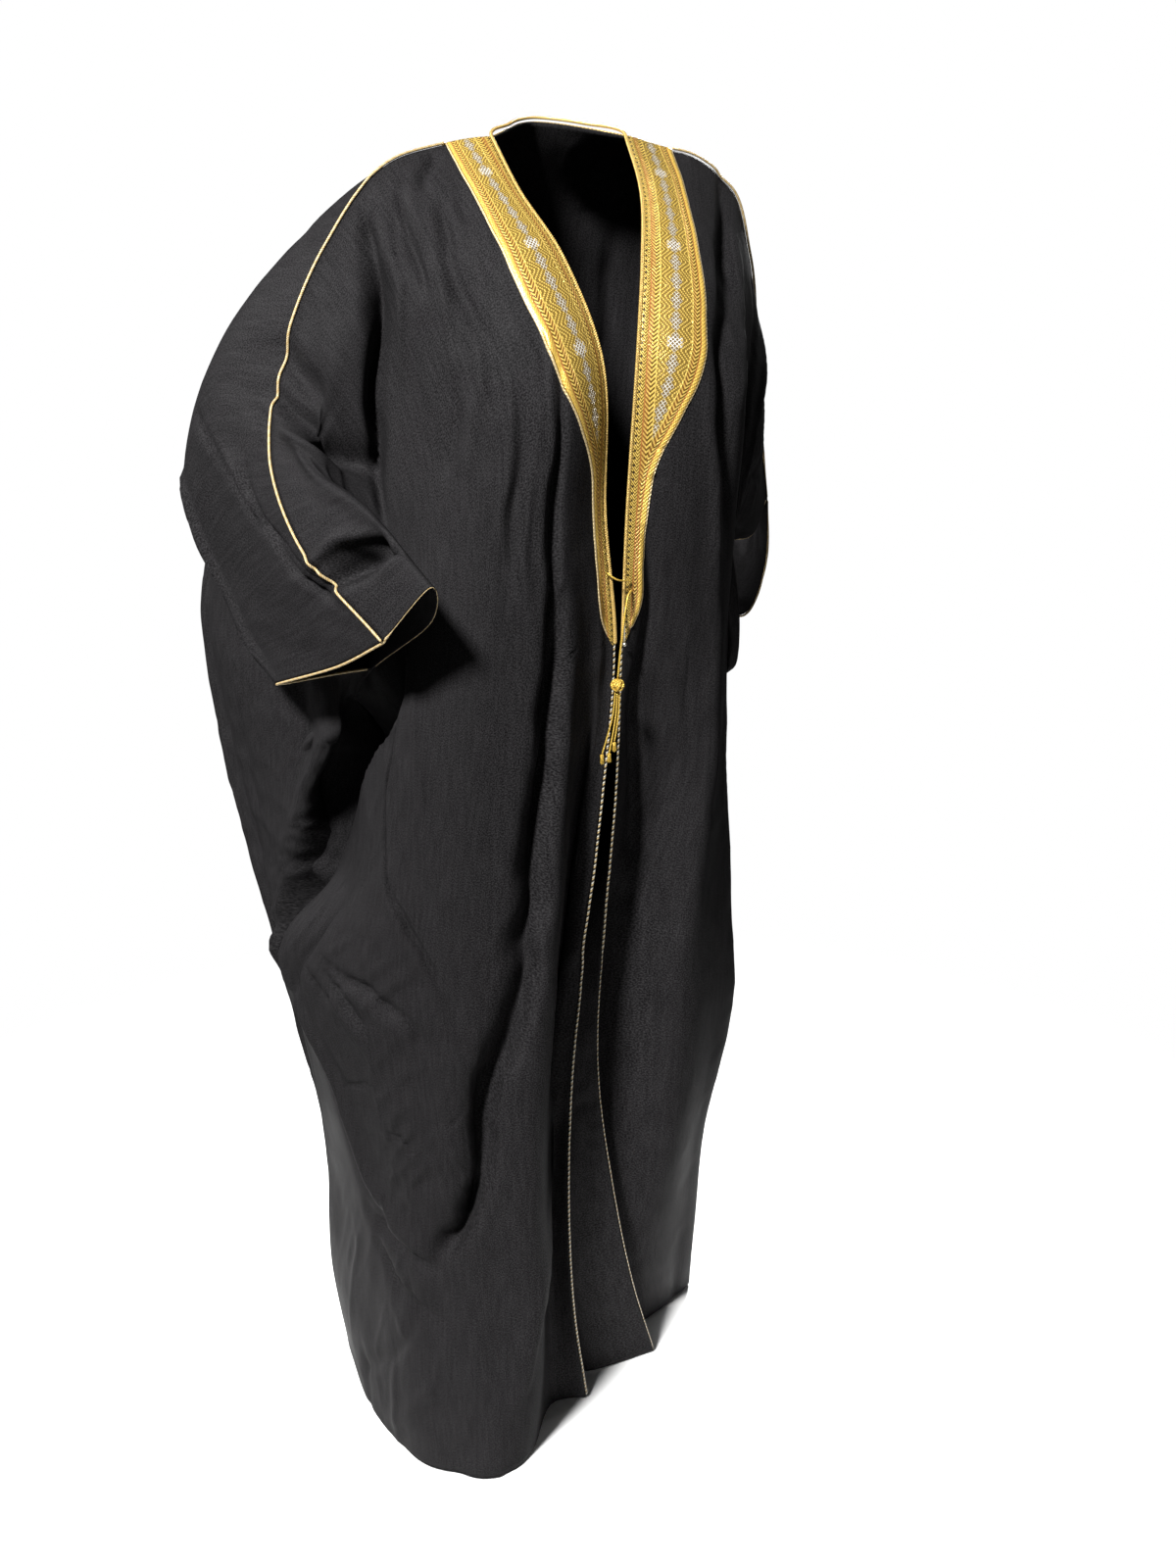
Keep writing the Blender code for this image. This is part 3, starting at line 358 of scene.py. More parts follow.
# Where the cloth is crumpled: the middle and the reach on the flat cloth, mm down and across,
# the way its crumples run, in degrees from straight down, their spacing and their height.
CRUMPLE_COLUMNS = ("down", "across", "reach_down", "reach_across", "turn", "spacing", "height")
CRUMPLES = {
    "right": {
        "swag": (940, 330, 150, 190, 62, 34, 3.4),
        "swag foot": (1110, 270, 110, 130, 55, 26, 2.6),
        "valley bank": (1010, 146, 160, 30, -22, 15, 2.0),
        "hip": (640, 330, 170, 150, 30, 60, 3.2),
        "breast": (230, 140, 160, 90, 6, 26, 1.6),
        "shoulder": (60, 150, 70, 110, 4, 30, 1.5),
        "forearm": (110, 430, 130, 180, 70, 42, 1.8),
        "skirt": (1330, 330, 170, 330, 24, 60, 2.6),
        "strip": (760, 40, 420, 40, 2, 26, 1.0),
    },
    "left": {
        "panel": (780, 200, 560, 220, 0, 46, 1.8),
        "turned edge": (1130, 30, 330, 60, 18, 22, 1.8),
        "breast": (170, 120, 150, 90, 4, 30, 1.5),
        "sleeve": (150, 360, 150, 160, 50, 36, 2.2),
    },
    "back": {
        "right sleeve": (90, 150, 110, 200, 60, 46, 2.0),
        "drape": (620, 160, 330, 210, 10, 50, 2.8),
        "blades": (420, 640, 420, 420, 2, 60, 3.0),
        "skirt": (1150, 600, 420, 700, 0, 58, 3.0),
        "left sleeve": (170, 1180, 200, 160, -30, 38, 2.4),
    },
}

# Threads and cords of the fastening: the radius, then the stops of the route in mm from the
# floor, from the end that is sewn down to the free end. The loop is sewn down at both ends.
CORDS = {
    "closure_loop": (0.9, ((-31, -171.8, 1050), (-28, -174.5, 1047), (-23, -177, 1043.5),
                           (-15, -175, 1041), (-9, -172.4, 1039.5), (-3.6, -169.9, 1038))),
    "closure_cord": (1.1, ((-1.4, -168.5, 1029), (-7, -172.6, 1025.5), (-12, -176.4, 1013),
                           (-16, -178.8, 994), (-19.5, -179.4, 968), (-21.6, -179, 943.4))),
    "closure_tail_1": (0.9, ((-24.4, -179, 928.8), (-27.2, -179.5, 906), (-32.6, -178.5, 884),
                             (-38, -177, 864.8))),
    "closure_tail_2": (0.9, ((-22.1, -179, 928.5), (-23.9, -179.6, 906), (-27.2, -179, 884),
                             (-30.6, -178.5, 865.8))),
    "closure_tail_3": (0.9, ((-19.8, -179, 928.8), (-20.9, -179.6, 906), (-22.8, -179, 890),
                             (-24.8, -178.4, 876.8))),
    "closure_thread": (0.6, ((-8.9, -167.4, 1012), (-8.9, -167.5, 1000), (-8.6, -167.4, 988),
                             (-8.4, -167.3, 976))),
}

CORD_POINTS = 40
KNOT_CENTRE = (-22, -179, 936)
TAILS = ("closure_tail_1", "closure_tail_2", "closure_tail_3")


def straight(across, reach, pitch):
    """Closer columns along a straight line down a piece."""
    return (0, CLOTH_DOWN), (across, across), reach, pitch


# Rows down each piece: the pitch, then (place, reach, pitch) where they are closer.
ROWS = {
    "right": (6.2, ((1075, 150, 3.3), (90, 110, 3.6), (300, 120, 4.2))),
    "left": (5.6, ((80, 120, 4.2), (340, 120, 4.6))),
    "back": (6.2, ((90, 120, 3.8), (450, 200, 5.2))),
}
COLUMN_COUNT = {"right": 156, "left": 110, "back": 168}
COLUMN_PITCH = 6.0
# Lines down each piece with closer columns: levels, places across at them, reach and pitch.
CLOSE_COLUMNS = {
    "right": (
        straight(0, 7, 1.8),
        (*BAND_LINE, 7, 2.6),
        ((0, 70, 230, 268, 417, 575, 770, 930, 1040, 1170, 1260, 1510),
         (80, 90, 80, 62, 65, 73, 94, 104, 124, 142, 165, 130), 16, 2.0),
        ((0, 120, 240, 300, 500), (130, 130, 120, 110, 84), 22, 2.7),
        ((0, 60, 120, 205, 320, 1510), (165, 170, 206, 262, 300, 300), 24, 3.0),
        ((0, 105, 185, 300, 1510), (342, 337, 304, 400, 420), 14, 3.2),
        ((0, 700, 850, 1000, 1230, 1510), (560, 290, 170, 150, 180, 200), 40, 3.2),
        ((0, 870, 925, 1000, 1070, 1135, 1185, 1230, 1510),
         (500, 600, 534, 474, 440, 398, 326, 200, 200), 36, 3.6),
        ((0, 270, 1510), (560, 600, 640), 14, 3.4),
        straight(RIGHT_ACROSS, 7, 2.0),
    ),
    "left": (
        straight(0, 7, 1.8),
        (*BAND_LINE, 7, 2.6),
        ((0, 430, 531, 660, 741, 846, 1100, 1510), (60, 18, 32, 28, 50, 94, 104, 110), 16, 2.4),
        ((0, 330, 1510), (150, 100, 60), 40, 3.6),
        straight(LEFT_ACROSS, 7, 2.0),
    ),
    "back": (
        straight(0, 8, 2.4),
        ((0, 30, 72, 112, 300, 1510), (60, 160, 272, 318, 330, 400), 26, 3.4),
        ((0, 300, 700, 1510), (100, 96, 130, 120), 30, 4.0),
        straight(NECK_RIGHT, 12, 3.4),
        straight(NECK_LEFT, 12, 3.4),
        straight(BACK_ACROSS, 8, 2.4),
    ),
}
NODES = {"right": "front_right", "left": "front_left", "back": "back"}

BAND_ROWS = 400
BAND_COLUMNS = 64
BAND_GAP = 0.2
BAND_ROLL = 0.35
BAND_PUCKER = 0.12
BAND_WAVER = 0.5
# The band's top row is lifted a little more, clear of the neck band's end.
BAND_TOP_LIFT = 0.2
# Ribs that stand out of the band: the side they are measured from, place, half width, height.
BAND_RIBS = (
    ("edge_mm", 4.2, 1.7, 0.35),
    ("edge_mm", 11.5, 2.8, 0.3),
    ("edge_mm", 16.4, 0.9, 0.25),
    ("outer_mm", 15.6, 0.9, 0.25),
    ("outer_mm", 10.6, 2.2, 0.3),
    ("outer_mm", 4.4, 1.9, 0.55),
)
NECK_BAND_START = 0.4
NECK_BAND_DROP = 25.0
NECK_BAND_HALF = 134.0
NECK_BAND_ROWS = 26
NECK_BAND_COLUMNS = 260
NECK_RIM_HALF = 44
NECK_CORD_LIFT = 2.2

# Pipings and cords lie this far off the edge that they are sewn to, and this far under the
# face of the cloth.
EDGE_GAP = 0.15
SUNK = 0.6
PIPING_LIFT = 0.2
SHOULDER_PIPING_FROM = 54.0
CUFF_STARTS = 4
CUFF_CORNER = 2.2
CUFF_TUCK = 0.3
# The left front's edge turns in from this level down, and less of its piping shows.
TURNED_FROM = 880
TURNED_SHARE = 0.5
SLIM_BLEND = 14.0
PLAIT_PITCH = 7.2
PLAIT_FLAT = 0.62
STRAND_SHARE = 0.52
# A step across a piece that shows which way is into it.
INWARD = 6

# How each kind of cord is twisted: its strands, the pitch and the depth of their grooves, the
# points round it and the spacing of its rings, in mm.
PALE_TWIST = {"strands": 4, "pitch": 8.0, "depth": 0.18, "around": 10, "step": 1.1}
SILVER_TWIST = {"strands": 3, "pitch": 6.6, "depth": 0.2, "around": 9, "step": 1.1}
BRAID_TWIST = {"strands": 2, "pitch": 3.0, "depth": 0.12, "around": 6, "step": PLAIT_PITCH / 9}
KNOT_TWIST = {"strands": 2, "pitch": 4.0, "depth": 0.2, "around": 8, "step": 0.5}
BRUSH_TWIST = {"strands": 2, "pitch": 2.0, "depth": 0.1, "around": 5, "step": 1.2}
BINDING_TWIST = {"strands": 2, "pitch": 2.0, "depth": 0.2, "around": 6, "step": 0.5}
# The closure cords' pitch and ring spacing go with their radius.
CORD_TWIST = {"strands": 2, "depth": 0.26, "around": 10}
CORD_PITCH = 3.6
CORD_STEP = 0.42

KNOT_CORE = 5.4
KNOT_WIND = 5.9
KNOT_WEAVE = 0.5
KNOT_LEADS = 5
KNOT_BIGHTS = 7
KNOT_REACH = 1.18
KNOT_TALL = 1.08
KNOT_STRAND = 0.95
KNOT_POINTS = 420
TASSEL_LENGTH = 11.0
TASSEL_RINGS = ((5, 0.8), (9, 1.7))
THREAD_RADIUS = 0.42
BINDING_TURNS = 3
BINDING_RADIUS = 1.5
BINDING_STRAND = 0.55
BEAD_RADIUS = 2.2
BEAD_GAP = 0.3

# The cloth's threads: repeats of the grain and the slubs to a metre, across and down, and the
# angle that the weave turns through in a metre.
GRAIN = (900.0, 620.0)
SLUB = (260.0, 26.0)
WEAVE = (5200.0, 4600.0)

# Places of the parts of the band's weave, in mm from its outer side and from its front edge.
OUTER_SELVEDGE = 1.2
OUTER_GROOVE = 1.9
OUTER_BORDER = 6.4
OUTER_LINE = 7.4
OUTER_BONE = 11.0
OUTER_COPPER = 13.2
OUTER_FIELD = 15.6
EDGE_PITS = 1.7
EDGE_NARROW_BONE = 4.2
EDGE_BORDER = 6.2
EDGE_LINE = 7.2
EDGE_COPPER = 9.4
EDGE_BONE = 12.0
EDGE_FIELD = 16.6
CHAIN_CELLS = 10
CHAIN_REACH = 2.6
LATTICE_CELL = 4.2
LATTICE_START = 200.0
KEY_STEP = 1.5
STAR_REPEAT = 105.0
PATTERN_START = 1200.0
PIT_REPEAT = 6.4
WEFT_PITCH = 0.9
WARP_PITCH = 0.8
STAR_WHITE = (1.0, 0.98, 0.9)
PIT_BROWN = (0.03, 0.018, 0.006)
DIAMOND_BROWN = (0.22, 0.14, 0.05)
BRAID_LIGHT = (0.80, 0.55, 0.17)
CLOSURE_GOLD = (0.90, 0.60, 0.10)
# Painted shade in the grooves of the pale gold piping.
PALE_SHADE = (0.16, 0.10, 0.04)
PALE_BRIGHT = (0.70, 0.55, 0.30)
SILVER_THREAD = (0.80, 0.76, 0.64)
# Black thread of the front piping's dark strand; the same colour is painted shade in the grooves of the
# silver-gold piping and the silver thread.
BLACK_THREAD_AND_GROOVE_SHADE = (0.012, 0.011, 0.01)

# The camera, in metres and degrees.
CAMERA_PLACE = (-0.763, -1.631, -0.026)
CAMERA_DOWN = 20.0
CAMERA_LEFT = 26.0
SENSOR_WIDTH = 36.0
LENS = 38.99
NEAREST_SEEN = 0.01
# Place and size of each light in metres, and the setting that holds its power.
LIGHTS = {
    "key_light": ((-3.0, -2.5, 3.2), 0.7, "key"),
    "fill_light": ((-2.4, 2.0, 1.5), 1.1, "fill"),
    "back_light": ((2.5, 3.2, 0.9), 0.7, "back"),
    "right_light": ((2.8, 0.8, 0.6), 1.6, "side"),
}
LIGHT_TARGET = Vector((0.0, 0.0, -0.65))
FLOOR_RADIUS = 1.4
FLOOR_SIDES = 96
FLOOR_FADES_FROM = 0.25
FLOOR_GONE_AT = FLOOR_RADIUS - 0.1
SKY_COLOUR = (1.0, 1.0, 1.0)


# --- Sizes and colours ----------------------------------------------------------------------


def length(name, description, default):
    """A size in millimetres that a user may change."""
    return FloatProperty(name=name, description=description, default=default, min=0, soft_max=100)


def colour(name, description, default):
    """A colour that a user may change."""
    return FloatVectorProperty(
        name=name, description=description, default=default, size=3, subtype="COLOR", min=0, max=1
    )


def power(name, description, default):
    """The power of a light, which a user may change."""
    return FloatProperty(name=name, description=description, default=default, min=0, unit="POWER")


def strength(name, description, default):
    """A value from 0 to 1 that a user may change."""
    return FloatProperty(name=name, description=description, default=default, min=0, max=1)


class BishtClothSettings(bpy.types.PropertyGroup):
    """Sizes and colours of the cloth."""

    wall: length("Wall", "Thickness of the cloth in mm", 1.3)
    warp: length("Warp", "How far creases stray from their drawn line, in mm", 3.0)
    dark: colour("Dark", "Colour of the cloth between its threads", (0.0034, 0.0032, 0.0034))
    light: colour("Light", "Colour of the cloth on its threads", (0.034, 0.0325, 0.0338))
    shine: strength("Roughness", "Roughness of the cloth", 0.56)


class BishtTrimSettings(bpy.types.PropertyGroup):
    """Sizes and colours of the band, the pipings and the cords."""

    band_wall: length("Band Wall", "Thickness of the woven band in mm", 1.1)
    cord_radius: length("Cord Radius", "Half the width of the plaited cord in mm", 1.9)
    seam_radius: length("Seam Piping Radius", "Radius of the piping on shoulder and arm, in mm", 1.45)
    edge_radius: length("Edge Piping Radius", "Radius of the piping down the fronts, in mm", 1.3)
    cuff_radius: length("Cuff Piping Radius", "Radius of the piping round the cuffs, in mm", 1.3)
    gold: colour("Gold", "Colour of the gold thread", (0.67, 0.40, 0.064))
    gold_light: colour("Bright Gold", "Colour of the gold thread where it floats", (0.87, 0.61, 0.14))
    # Dark gold of the weave's ground; the same colour is painted shade between the band's threads, in its
    # groove and in the hollows of its weave, and in the grooves of the gold cords.
    dark_gold_and_shade: colour("Dark Gold", "Colour between the gold threads", (0.135, 0.073, 0.010))
    copper: colour("Copper", "Colour of the copper thread", (0.42, 0.16, 0.04))
    silver: colour("Silver", "Colour of the silver thread", (0.78, 0.75, 0.64))
    pale_gold: colour("Pale Gold", "Colour of the piping on shoulders and cuffs", (0.62, 0.44, 0.19))


class BishtStageSettings(bpy.types.PropertyGroup):
    """Light and floor."""

    key: power("Key", "Power of the key light", 680.0)
    fill: power("Fill", "Power of the fill light", 75.0)
    back: power("Back", "Power of the back light", 560.0)
    side: power("Side", "Power of the side light", 8.0)
    floor: colour("Floor", "Colour of the floor", (0.94, 0.94, 0.93))
    sky: strength("Sky", "Brightness of the pale surroundings", 1.0)
    soft: strength("Soft Light", "Strength of the light from all round", 0.05)


# --- The flat cloth and its creases -----------------------------------------------------------


def curve_rows(at, values, places):
    """Points of a smooth curve for each row: values lie at the places in at, and are read at places."""
    at = np.asarray(at, float)
    slopes = np.gradient(values, at, axis=1)
    span = np.clip(np.searchsorted(at, places, side="right") - 1, 0, len(at) - 2)
    rows = np.arange(len(values))[:, None]
    size = (at[span + 1] - at[span])[..., None]
    share = (places - at[span])[..., None] / size
    rise = eased(share)
    lead = share * (1 - share) ** 2 * size
    trail = share * share * (share - 1) * size
    return (
        values[rows, span] * (1 - rise)
        + values[rows, span + 1] * rise
        + slopes[rows, span] * lead
        + slopes[rows, span + 1] * trail
    )


def eased(share):
    """A share from 0 to 1 with a level start and end."""
    return share * share * (3 - 2 * share)


def run_along(line):
    """Distance along a line at each of its points."""
    return np.concatenate([[0], np.cumsum(np.linalg.norm(np.diff(line, axis=0), axis=1))])


def smooth_line(stops, count):
    """Points evenly spaced on a smooth line through the stops."""
    stops = np.asarray(stops, float)
    run = run_along(stops)
    return curve_rows(run, stops[None], np.linspace(0, run[-1], count)[None])[0]


def resampled(route, spacing):
    """A route at an even spacing."""
    return smooth_line(route, max(4, int(round(run_along(route)[-1] / spacing)) + 1))


def band_width(down):
    """Width of the band at each distance down."""
    levels, widths = (np.array(part, float) for part in BAND_LINE)
    return curve_rows(levels, widths[None, :, None], down[None])[0, :, 0]


def unit(vectors):
    return vectors / np.linalg.norm(vectors, axis=-1, keepdims=True)


def normals_of(grid):
    """Unit normals of a grid of points, out of the cloth's right side."""
    return unit(np.cross(np.gradient(grid, axis=1), np.gradient(grid, axis=0)))


class Ripple:
    """Smooth noise on the flat cloth, the same on each run: -1 to 1, about a spacing between bumps."""

    CELLS = 64
    START = 100

    def __init__(self, seed, spacing, turn=0.0, stretch=1.0):
        draw = np.random.default_rng(seed)
        self.grid = draw.uniform(-1, 1, (self.CELLS, self.CELLS))
        self.spacing = spacing
        self.stretch = stretch
        self.turn = math.radians(turn)

    def __call__(self, down, across):
        run = down * math.cos(self.turn) + across * math.sin(self.turn)
        off = across * math.cos(self.turn) - down * math.sin(self.turn)
        x = run / (self.spacing * self.stretch) + self.START
        y = off / self.spacing + self.START
        i = np.floor(x).astype(int)
        j = np.floor(y).astype(int)
        u, v = (part**3 * (part * (part * 6 - 15) + 10) for part in (x - i, y - j))
        i0, i1, j0, j1 = (place % self.CELLS for place in (i, i + 1, j, j + 1))
        top = self.grid[i0, j0] * (1 - v) + self.grid[i0, j1] * v
        low = self.grid[i1, j0] * (1 - v) + self.grid[i1, j1] * v
        return top * (1 - u) + low * u


CREASE_SEED = 40
CREASE_POINTS = 28
# A crease is measured this many half widths from its line, and it narrows to this share of its
# width at its ends. Its height varies by a share along it, in waves of a share of its length.
CREASE_REACH = 3.2
CREASE_NARROWS_TO = 0.72
CREASE_FADE = 0.6
CREASE_UNEVEN = 0.25
CREASE_WAVE = 0.27
CRUMPLE_SEED = 200
# The fine crumples lie among the broad ones: spacing as a share of theirs, turn from theirs in
# degrees. Stretch is the length of a crumple over its width, and sharpness that of its ridge.
BROAD_STRETCH = 2.6
FINE_SPACING = 0.47
FINE_TURN = 16
FINE_STRETCH = 2.2
SHARPNESS = 2.4
BROAD_SHARE = 0.62
FINE_SHARE = 0.3
CRUMPLE_DROP = 0.2
CRUMPLE_FADE = 0.7


def crease_height(crease, seed, down, across):
    """Height of one crease over the flat cloth."""
    line = smooth_line(crease["stops"], CREASE_POINTS)
    reach = CREASE_REACH * crease["half_width"]
    low = line.min(0) - reach
    high = line.max(0) + reach
    height = np.zeros_like(down)
    near = (down > low[0]) & (down < high[0]) & (across > low[1]) & (across < high[1])
    if not near.any():
        return height
    place = np.stack([down[near], across[near]], axis=1)
    step = np.diff(line, axis=0)
    offset = place[:, None] - line[:-1]
    share = np.clip((offset * step).sum(2) / (step**2).sum(1), 0, 1)
    miss = offset - share[..., None] * step
    far = np.linalg.norm(miss, axis=2)
    nearest = far.argmin(1)
    pick = np.arange(len(place)), nearest
    along = (nearest + share[pick]) / len(step)
    side = step[nearest, 0] * miss[pick][:, 1] - step[nearest, 1] * miss[pick][:, 0]
    uneven = 1 + CREASE_UNEVEN * Ripple(seed, CREASE_WAVE)(along, np.zeros_like(along))
    arch = np.sin(math.pi * np.clip(along, 0, 1))
    leaning = crease["half_width"] * (1 + np.sign(side) * crease["lean"])
    width = leaning * (CREASE_NARROWS_TO + (1 - CREASE_NARROWS_TO) * arch)
    peak = crease["height"] * arch**CREASE_FADE * uneven
    height[near] = peak * np.exp(-((far[pick] / width) ** 2))
    return height


def crumple_height(patch, seed, down, across):
    """Height of one crumpled patch: thin ridges between flat faces, as pressed cloth takes."""
    off_down = (down - patch["down"]) / patch["reach_down"]
    off_across = (across - patch["across"]) / patch["reach_across"]
    inside = np.clip(1 - off_down**2 - off_across**2, 0, 1)
    spacing, turn = patch["spacing"], patch["turn"]
    broad = Ripple(seed, spacing, turn, BROAD_STRETCH)(down, across)
    fine = Ripple(seed + 1, spacing * FINE_SPACING, turn + FINE_TURN, FINE_STRETCH)(down, across)
    ridged = 1 - SHARPNESS * np.abs(broad)
    finer = 1 - SHARPNESS * np.abs(fine)
    form = BROAD_SHARE * ridged + FINE_SHARE * finer - CRUMPLE_DROP
    return patch["height"] * inside**CRUMPLE_FADE * form


def fall_height(piece, down, across):
    """Height of the cloth where it falls in past an edge, towards the side seam."""
    if piece not in FALL_EDGES:
        return np.zeros_like(across)
    levels, edges, bank = FALL_EDGES[piece]
    past = np.clip((across - np.interp(down, levels, edges)) / bank, 0, 1)
    return -np.interp(down, *FALL_DEPTHS) * eased(past)


class Piece:
    """One cut piece of cloth. A place on it is mm down from the seam and mm across."""

    STRAY_SPACING = 42

    def __init__(self, name, sections, columns, side, warp=3.0):
        self.name = name
        self.node = NODES[name]
        self.levels = [row[0] for row in sections.values()]
        self.points = np.array([row[1:] for row in sections.values()], float)
        self.columns = list(columns.values())
        self.side = side
        self.warp = warp

    def smooth(self, down, across):
        """The uncreased surface: down is one value for each row, across a row of values each."""
        by_column = np.swapaxes(self.points, 0, 1)
        rows = np.broadcast_to(down, (len(self.columns), len(down)))
        by_level = np.swapaxes(curve_rows(self.levels, by_column, rows), 0, 1)
        return curve_rows(self.columns, by_level, across)

    def facing(self, down, across, reach=2.0):
        """Unit normals of the uncreased surface, out of the cloth's right side."""
        along = self.smooth(down, across + reach) - self.smooth(down, across - reach)
        below = self.smooth(down + reach, across) - self.smooth(down - reach, across)
        return unit(np.cross(along, below)) * self.side

    def height(self, down, across):
        """How far the creased cloth stands out of the uncreased surface."""
        down = np.broadcast_to(down[:, None], across.shape)
        strayed = [
            place + self.warp * Ripple(seed, self.STRAY_SPACING)(down, across)
            for seed, place in ((11, down), (12, across))
        ]
        total = fall_height(self.name, *strayed)
        for seed, row in enumerate(CREASES[self.name].values(), CREASE_SEED):
            total += crease_height(dict(zip(CREASE_COLUMNS, row)), seed, *strayed)
        for number, row in enumerate(CRUMPLES[self.name].values()):
            patch = dict(zip(CRUMPLE_COLUMNS, row))
            total += crumple_height(patch, CRUMPLE_SEED + 2 * number, down, across)
        return total

    def cloth(self, down, across):
        """Points of the creased cloth."""
        return self.smooth(down, across) + self.facing(down, across) * self.height(down, across)[..., None]


class Back(Piece):
    """The back, whose border is drawn onto the two fronts where it is sewn to them."""

    TOP_REACH = 107
    SIDE_REACH = 150
    FOOT_OF_CUFF = 240
    TOP_PITCH = 2
    SIDE_PITCH = 3.0

    def __init__(self, name, sections, columns, side, right, left):
        super().__init__(name, sections, columns, side)
        self.right = right
        self.left = left
        self.pulls = None

    def measure_pulls(self):
        """How far the border moves to meet the fronts, along the shoulder seam and each side seam."""
        top = np.array([0.0])
        places = np.arange(0.0, BACK_ACROSS + 1, self.TOP_PITCH)
        own = super().cloth(top, places[None])[0]
        pull = np.zeros_like(own)
        on_right = places <= NECK_RIGHT
        on_left = places >= NECK_LEFT
        pull[on_right] = self.right.cloth(top, NECK_RIGHT - places[None, on_right])[0] - own[on_right]
        pull[on_left] = self.left.cloth(top, places[None, on_left] - NECK_LEFT)[0] - own[on_left]
        down = np.arange(CUFF_DOWN, CLOTH_DOWN + 1, self.SIDE_PITCH)
        sides = []
        for front, edge, own_edge in ((self.right, RIGHT_ACROSS, 0), (self.left, LEFT_ACROSS, BACK_ACROSS)):
            there = front.cloth(down, np.full((len(down), 1), float(edge)))[:, 0]
            here = super().cloth(down, np.full((len(down), 1), float(own_edge)))[:, 0]
            sides.append(there - here)
        self.pulls = places, pull, down, sides

    @staticmethod
    def read(at, pulls, places):
        return np.stack([np.interp(places, at, pulls[:, axis]) for axis in range(3)], axis=-1)

    def cloth(self, down, across):
        if self.pulls is None:
            self.measure_pulls()
        points = super().cloth(down, across)
        places, pull, levels, sides = self.pulls
        ease = np.clip(1 - down / self.TOP_REACH, 0, 1) ** 2
        points += self.read(places, pull, across) * ease[:, None, None]
        start = np.clip((down - self.FOOT_OF_CUFF) / (CUFF_DOWN - self.FOOT_OF_CUFF), 0, 1)
        for shift, distance in zip(sides, (across, BACK_ACROSS - across)):
            ease = np.clip(1 - distance / self.SIDE_REACH, 0, 1) ** 2 * start[:, None]
            points += self.read(levels, shift, down)[:, None] * ease[..., None]
        return points


RIGHT = Piece("right", FRONT_RIGHT, FRONT_RIGHT_COLUMNS, 1)
LEFT = Piece("left", FRONT_LEFT, FRONT_LEFT_COLUMNS, -1)
BACK_PIECE = Back("back", BACK, BACK_COLUMNS, 1, RIGHT, LEFT)


def graded(total, pitch, closer, count=None):
    """Places from 0 to total, a pitch apart, and closer round each (place, reach, pitch) in closer:
    as many as count says, or as fit."""
    at = np.arange(0, total + 1.0)
    density = np.full_like(at, 1 / pitch)
    for place, reach, fine in closer:
        density = np.maximum(density, np.exp(-(((at - place) / reach) ** 2)) / fine)
    run = np.concatenate([[0], np.cumsum((density[1:] + density[:-1]) / 2)])
    return np.interp(np.linspace(0, run[-1], count or int(round(run[-1])) + 1), run, at)


def columns_of(piece, down):
    """Places across a piece for each row, closer round the lines that cross the rows."""
    rows = []
    for level in down:
        closer = [
            (np.interp(level, levels, places), reach, pitch)
            for levels, places, reach, pitch in CLOSE_COLUMNS[piece.name]
        ]
        rows.append(graded(piece.columns[-1], COLUMN_PITCH, closer, COLUMN_COUNT[piece.name]))
    return np.array(rows)


# --- Meshes -----------------------------------------------------------------------------------


def place_in_frame(points):
    """Points in mm from the floor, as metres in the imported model's frame."""
    return (np.asarray(points, float) - [0, 0, HELD_HEIGHT]) * MM


def flat_cloth(down, across):
    """The flat cloth's UVs, in metres across and down."""
    return np.stack([across, np.broadcast_to(down[:, None], across.shape)], axis=-1) * MM


def new_object(name, points, faces, material, uv_name, uv):
    mesh = bpy.data.meshes.new(name)
    mesh.from_pydata(place_in_frame(points).tolist(), [], faces)
    mesh.materials.append(material)
    mesh.shade_smooth()
    layer = mesh.uv_layers.new(name=uv_name)
    layer.data.foreach_set("uv", uv.astype(np.float32).reshape(-1))
    piece = bpy.data.objects.new(name, mesh)
    bpy.context.scene.collection.objects.link(piece)
    return piece


def shell(name, grid, side, lift, wall, uv, material, facts=None):
    """One closed sheet over a grid of points: its outer face is lifted off the grid, and its inner
    face lies a wall under that. With a side of -1 its columns are turned round to face outwards."""
    normals = normals_of(grid) * side
    grid = grid + normals * lift
    order = slice(None, None, side)
    points = np.concatenate([part[:, order].reshape(-1, 3) for part in (grid, grid - normals * wall)])
    rows, places = grid.shape[:2]
    count = rows * places
    at = np.arange(count).reshape(rows, places)
    outer = np.stack([at[:-1, :-1], at[:-1, 1:], at[1:, 1:], at[1:, :-1]], axis=-1).reshape(-1, 4)
    inner = outer[:, ::-1] + count
    rim = np.concatenate([at[0], at[1:, -1], at[-1, -2::-1], at[-2:0:-1, 0]])
    end = np.roll(rim, -1)
    faces = np.concatenate([outer, inner, np.stack([end, rim, rim + count, end + count], axis=-1)])
    flat = np.tile(uv[:, order].reshape(-1, 2), (2, 1))[faces.reshape(-1)]
    piece = new_object(name, points, faces.tolist(), material, "flat_cloth", flat)
    for fact, values in (facts or {}).items():
        holder = piece.data.attributes.new(fact, "FLOAT", "POINT")
        holder.data.foreach_set("value", np.tile(values[:, order].reshape(-1), 2).astype(np.float32))
    return piece


def frames_along(route):
    """Two directions across a route at each point, turned as little as can be."""
    tangents = unit(np.gradient(route, axis=0))
    sideways = np.zeros_like(route)
    start = np.cross(tangents[0], (0.0, 1.0, 0.0))
    if np.linalg.norm(start) < 0.1:
        start = np.cross(tangents[0], (1.0, 0.0, 0.0))
    sideways[0] = unit(start)
    for step in range(1, len(route)):
        carried = sideways[step - 1] - tangents[step] * (sideways[step - 1] @ tangents[step])
        sideways[step] = unit(carried)
    return sideways, np.cross(tangents, sideways)


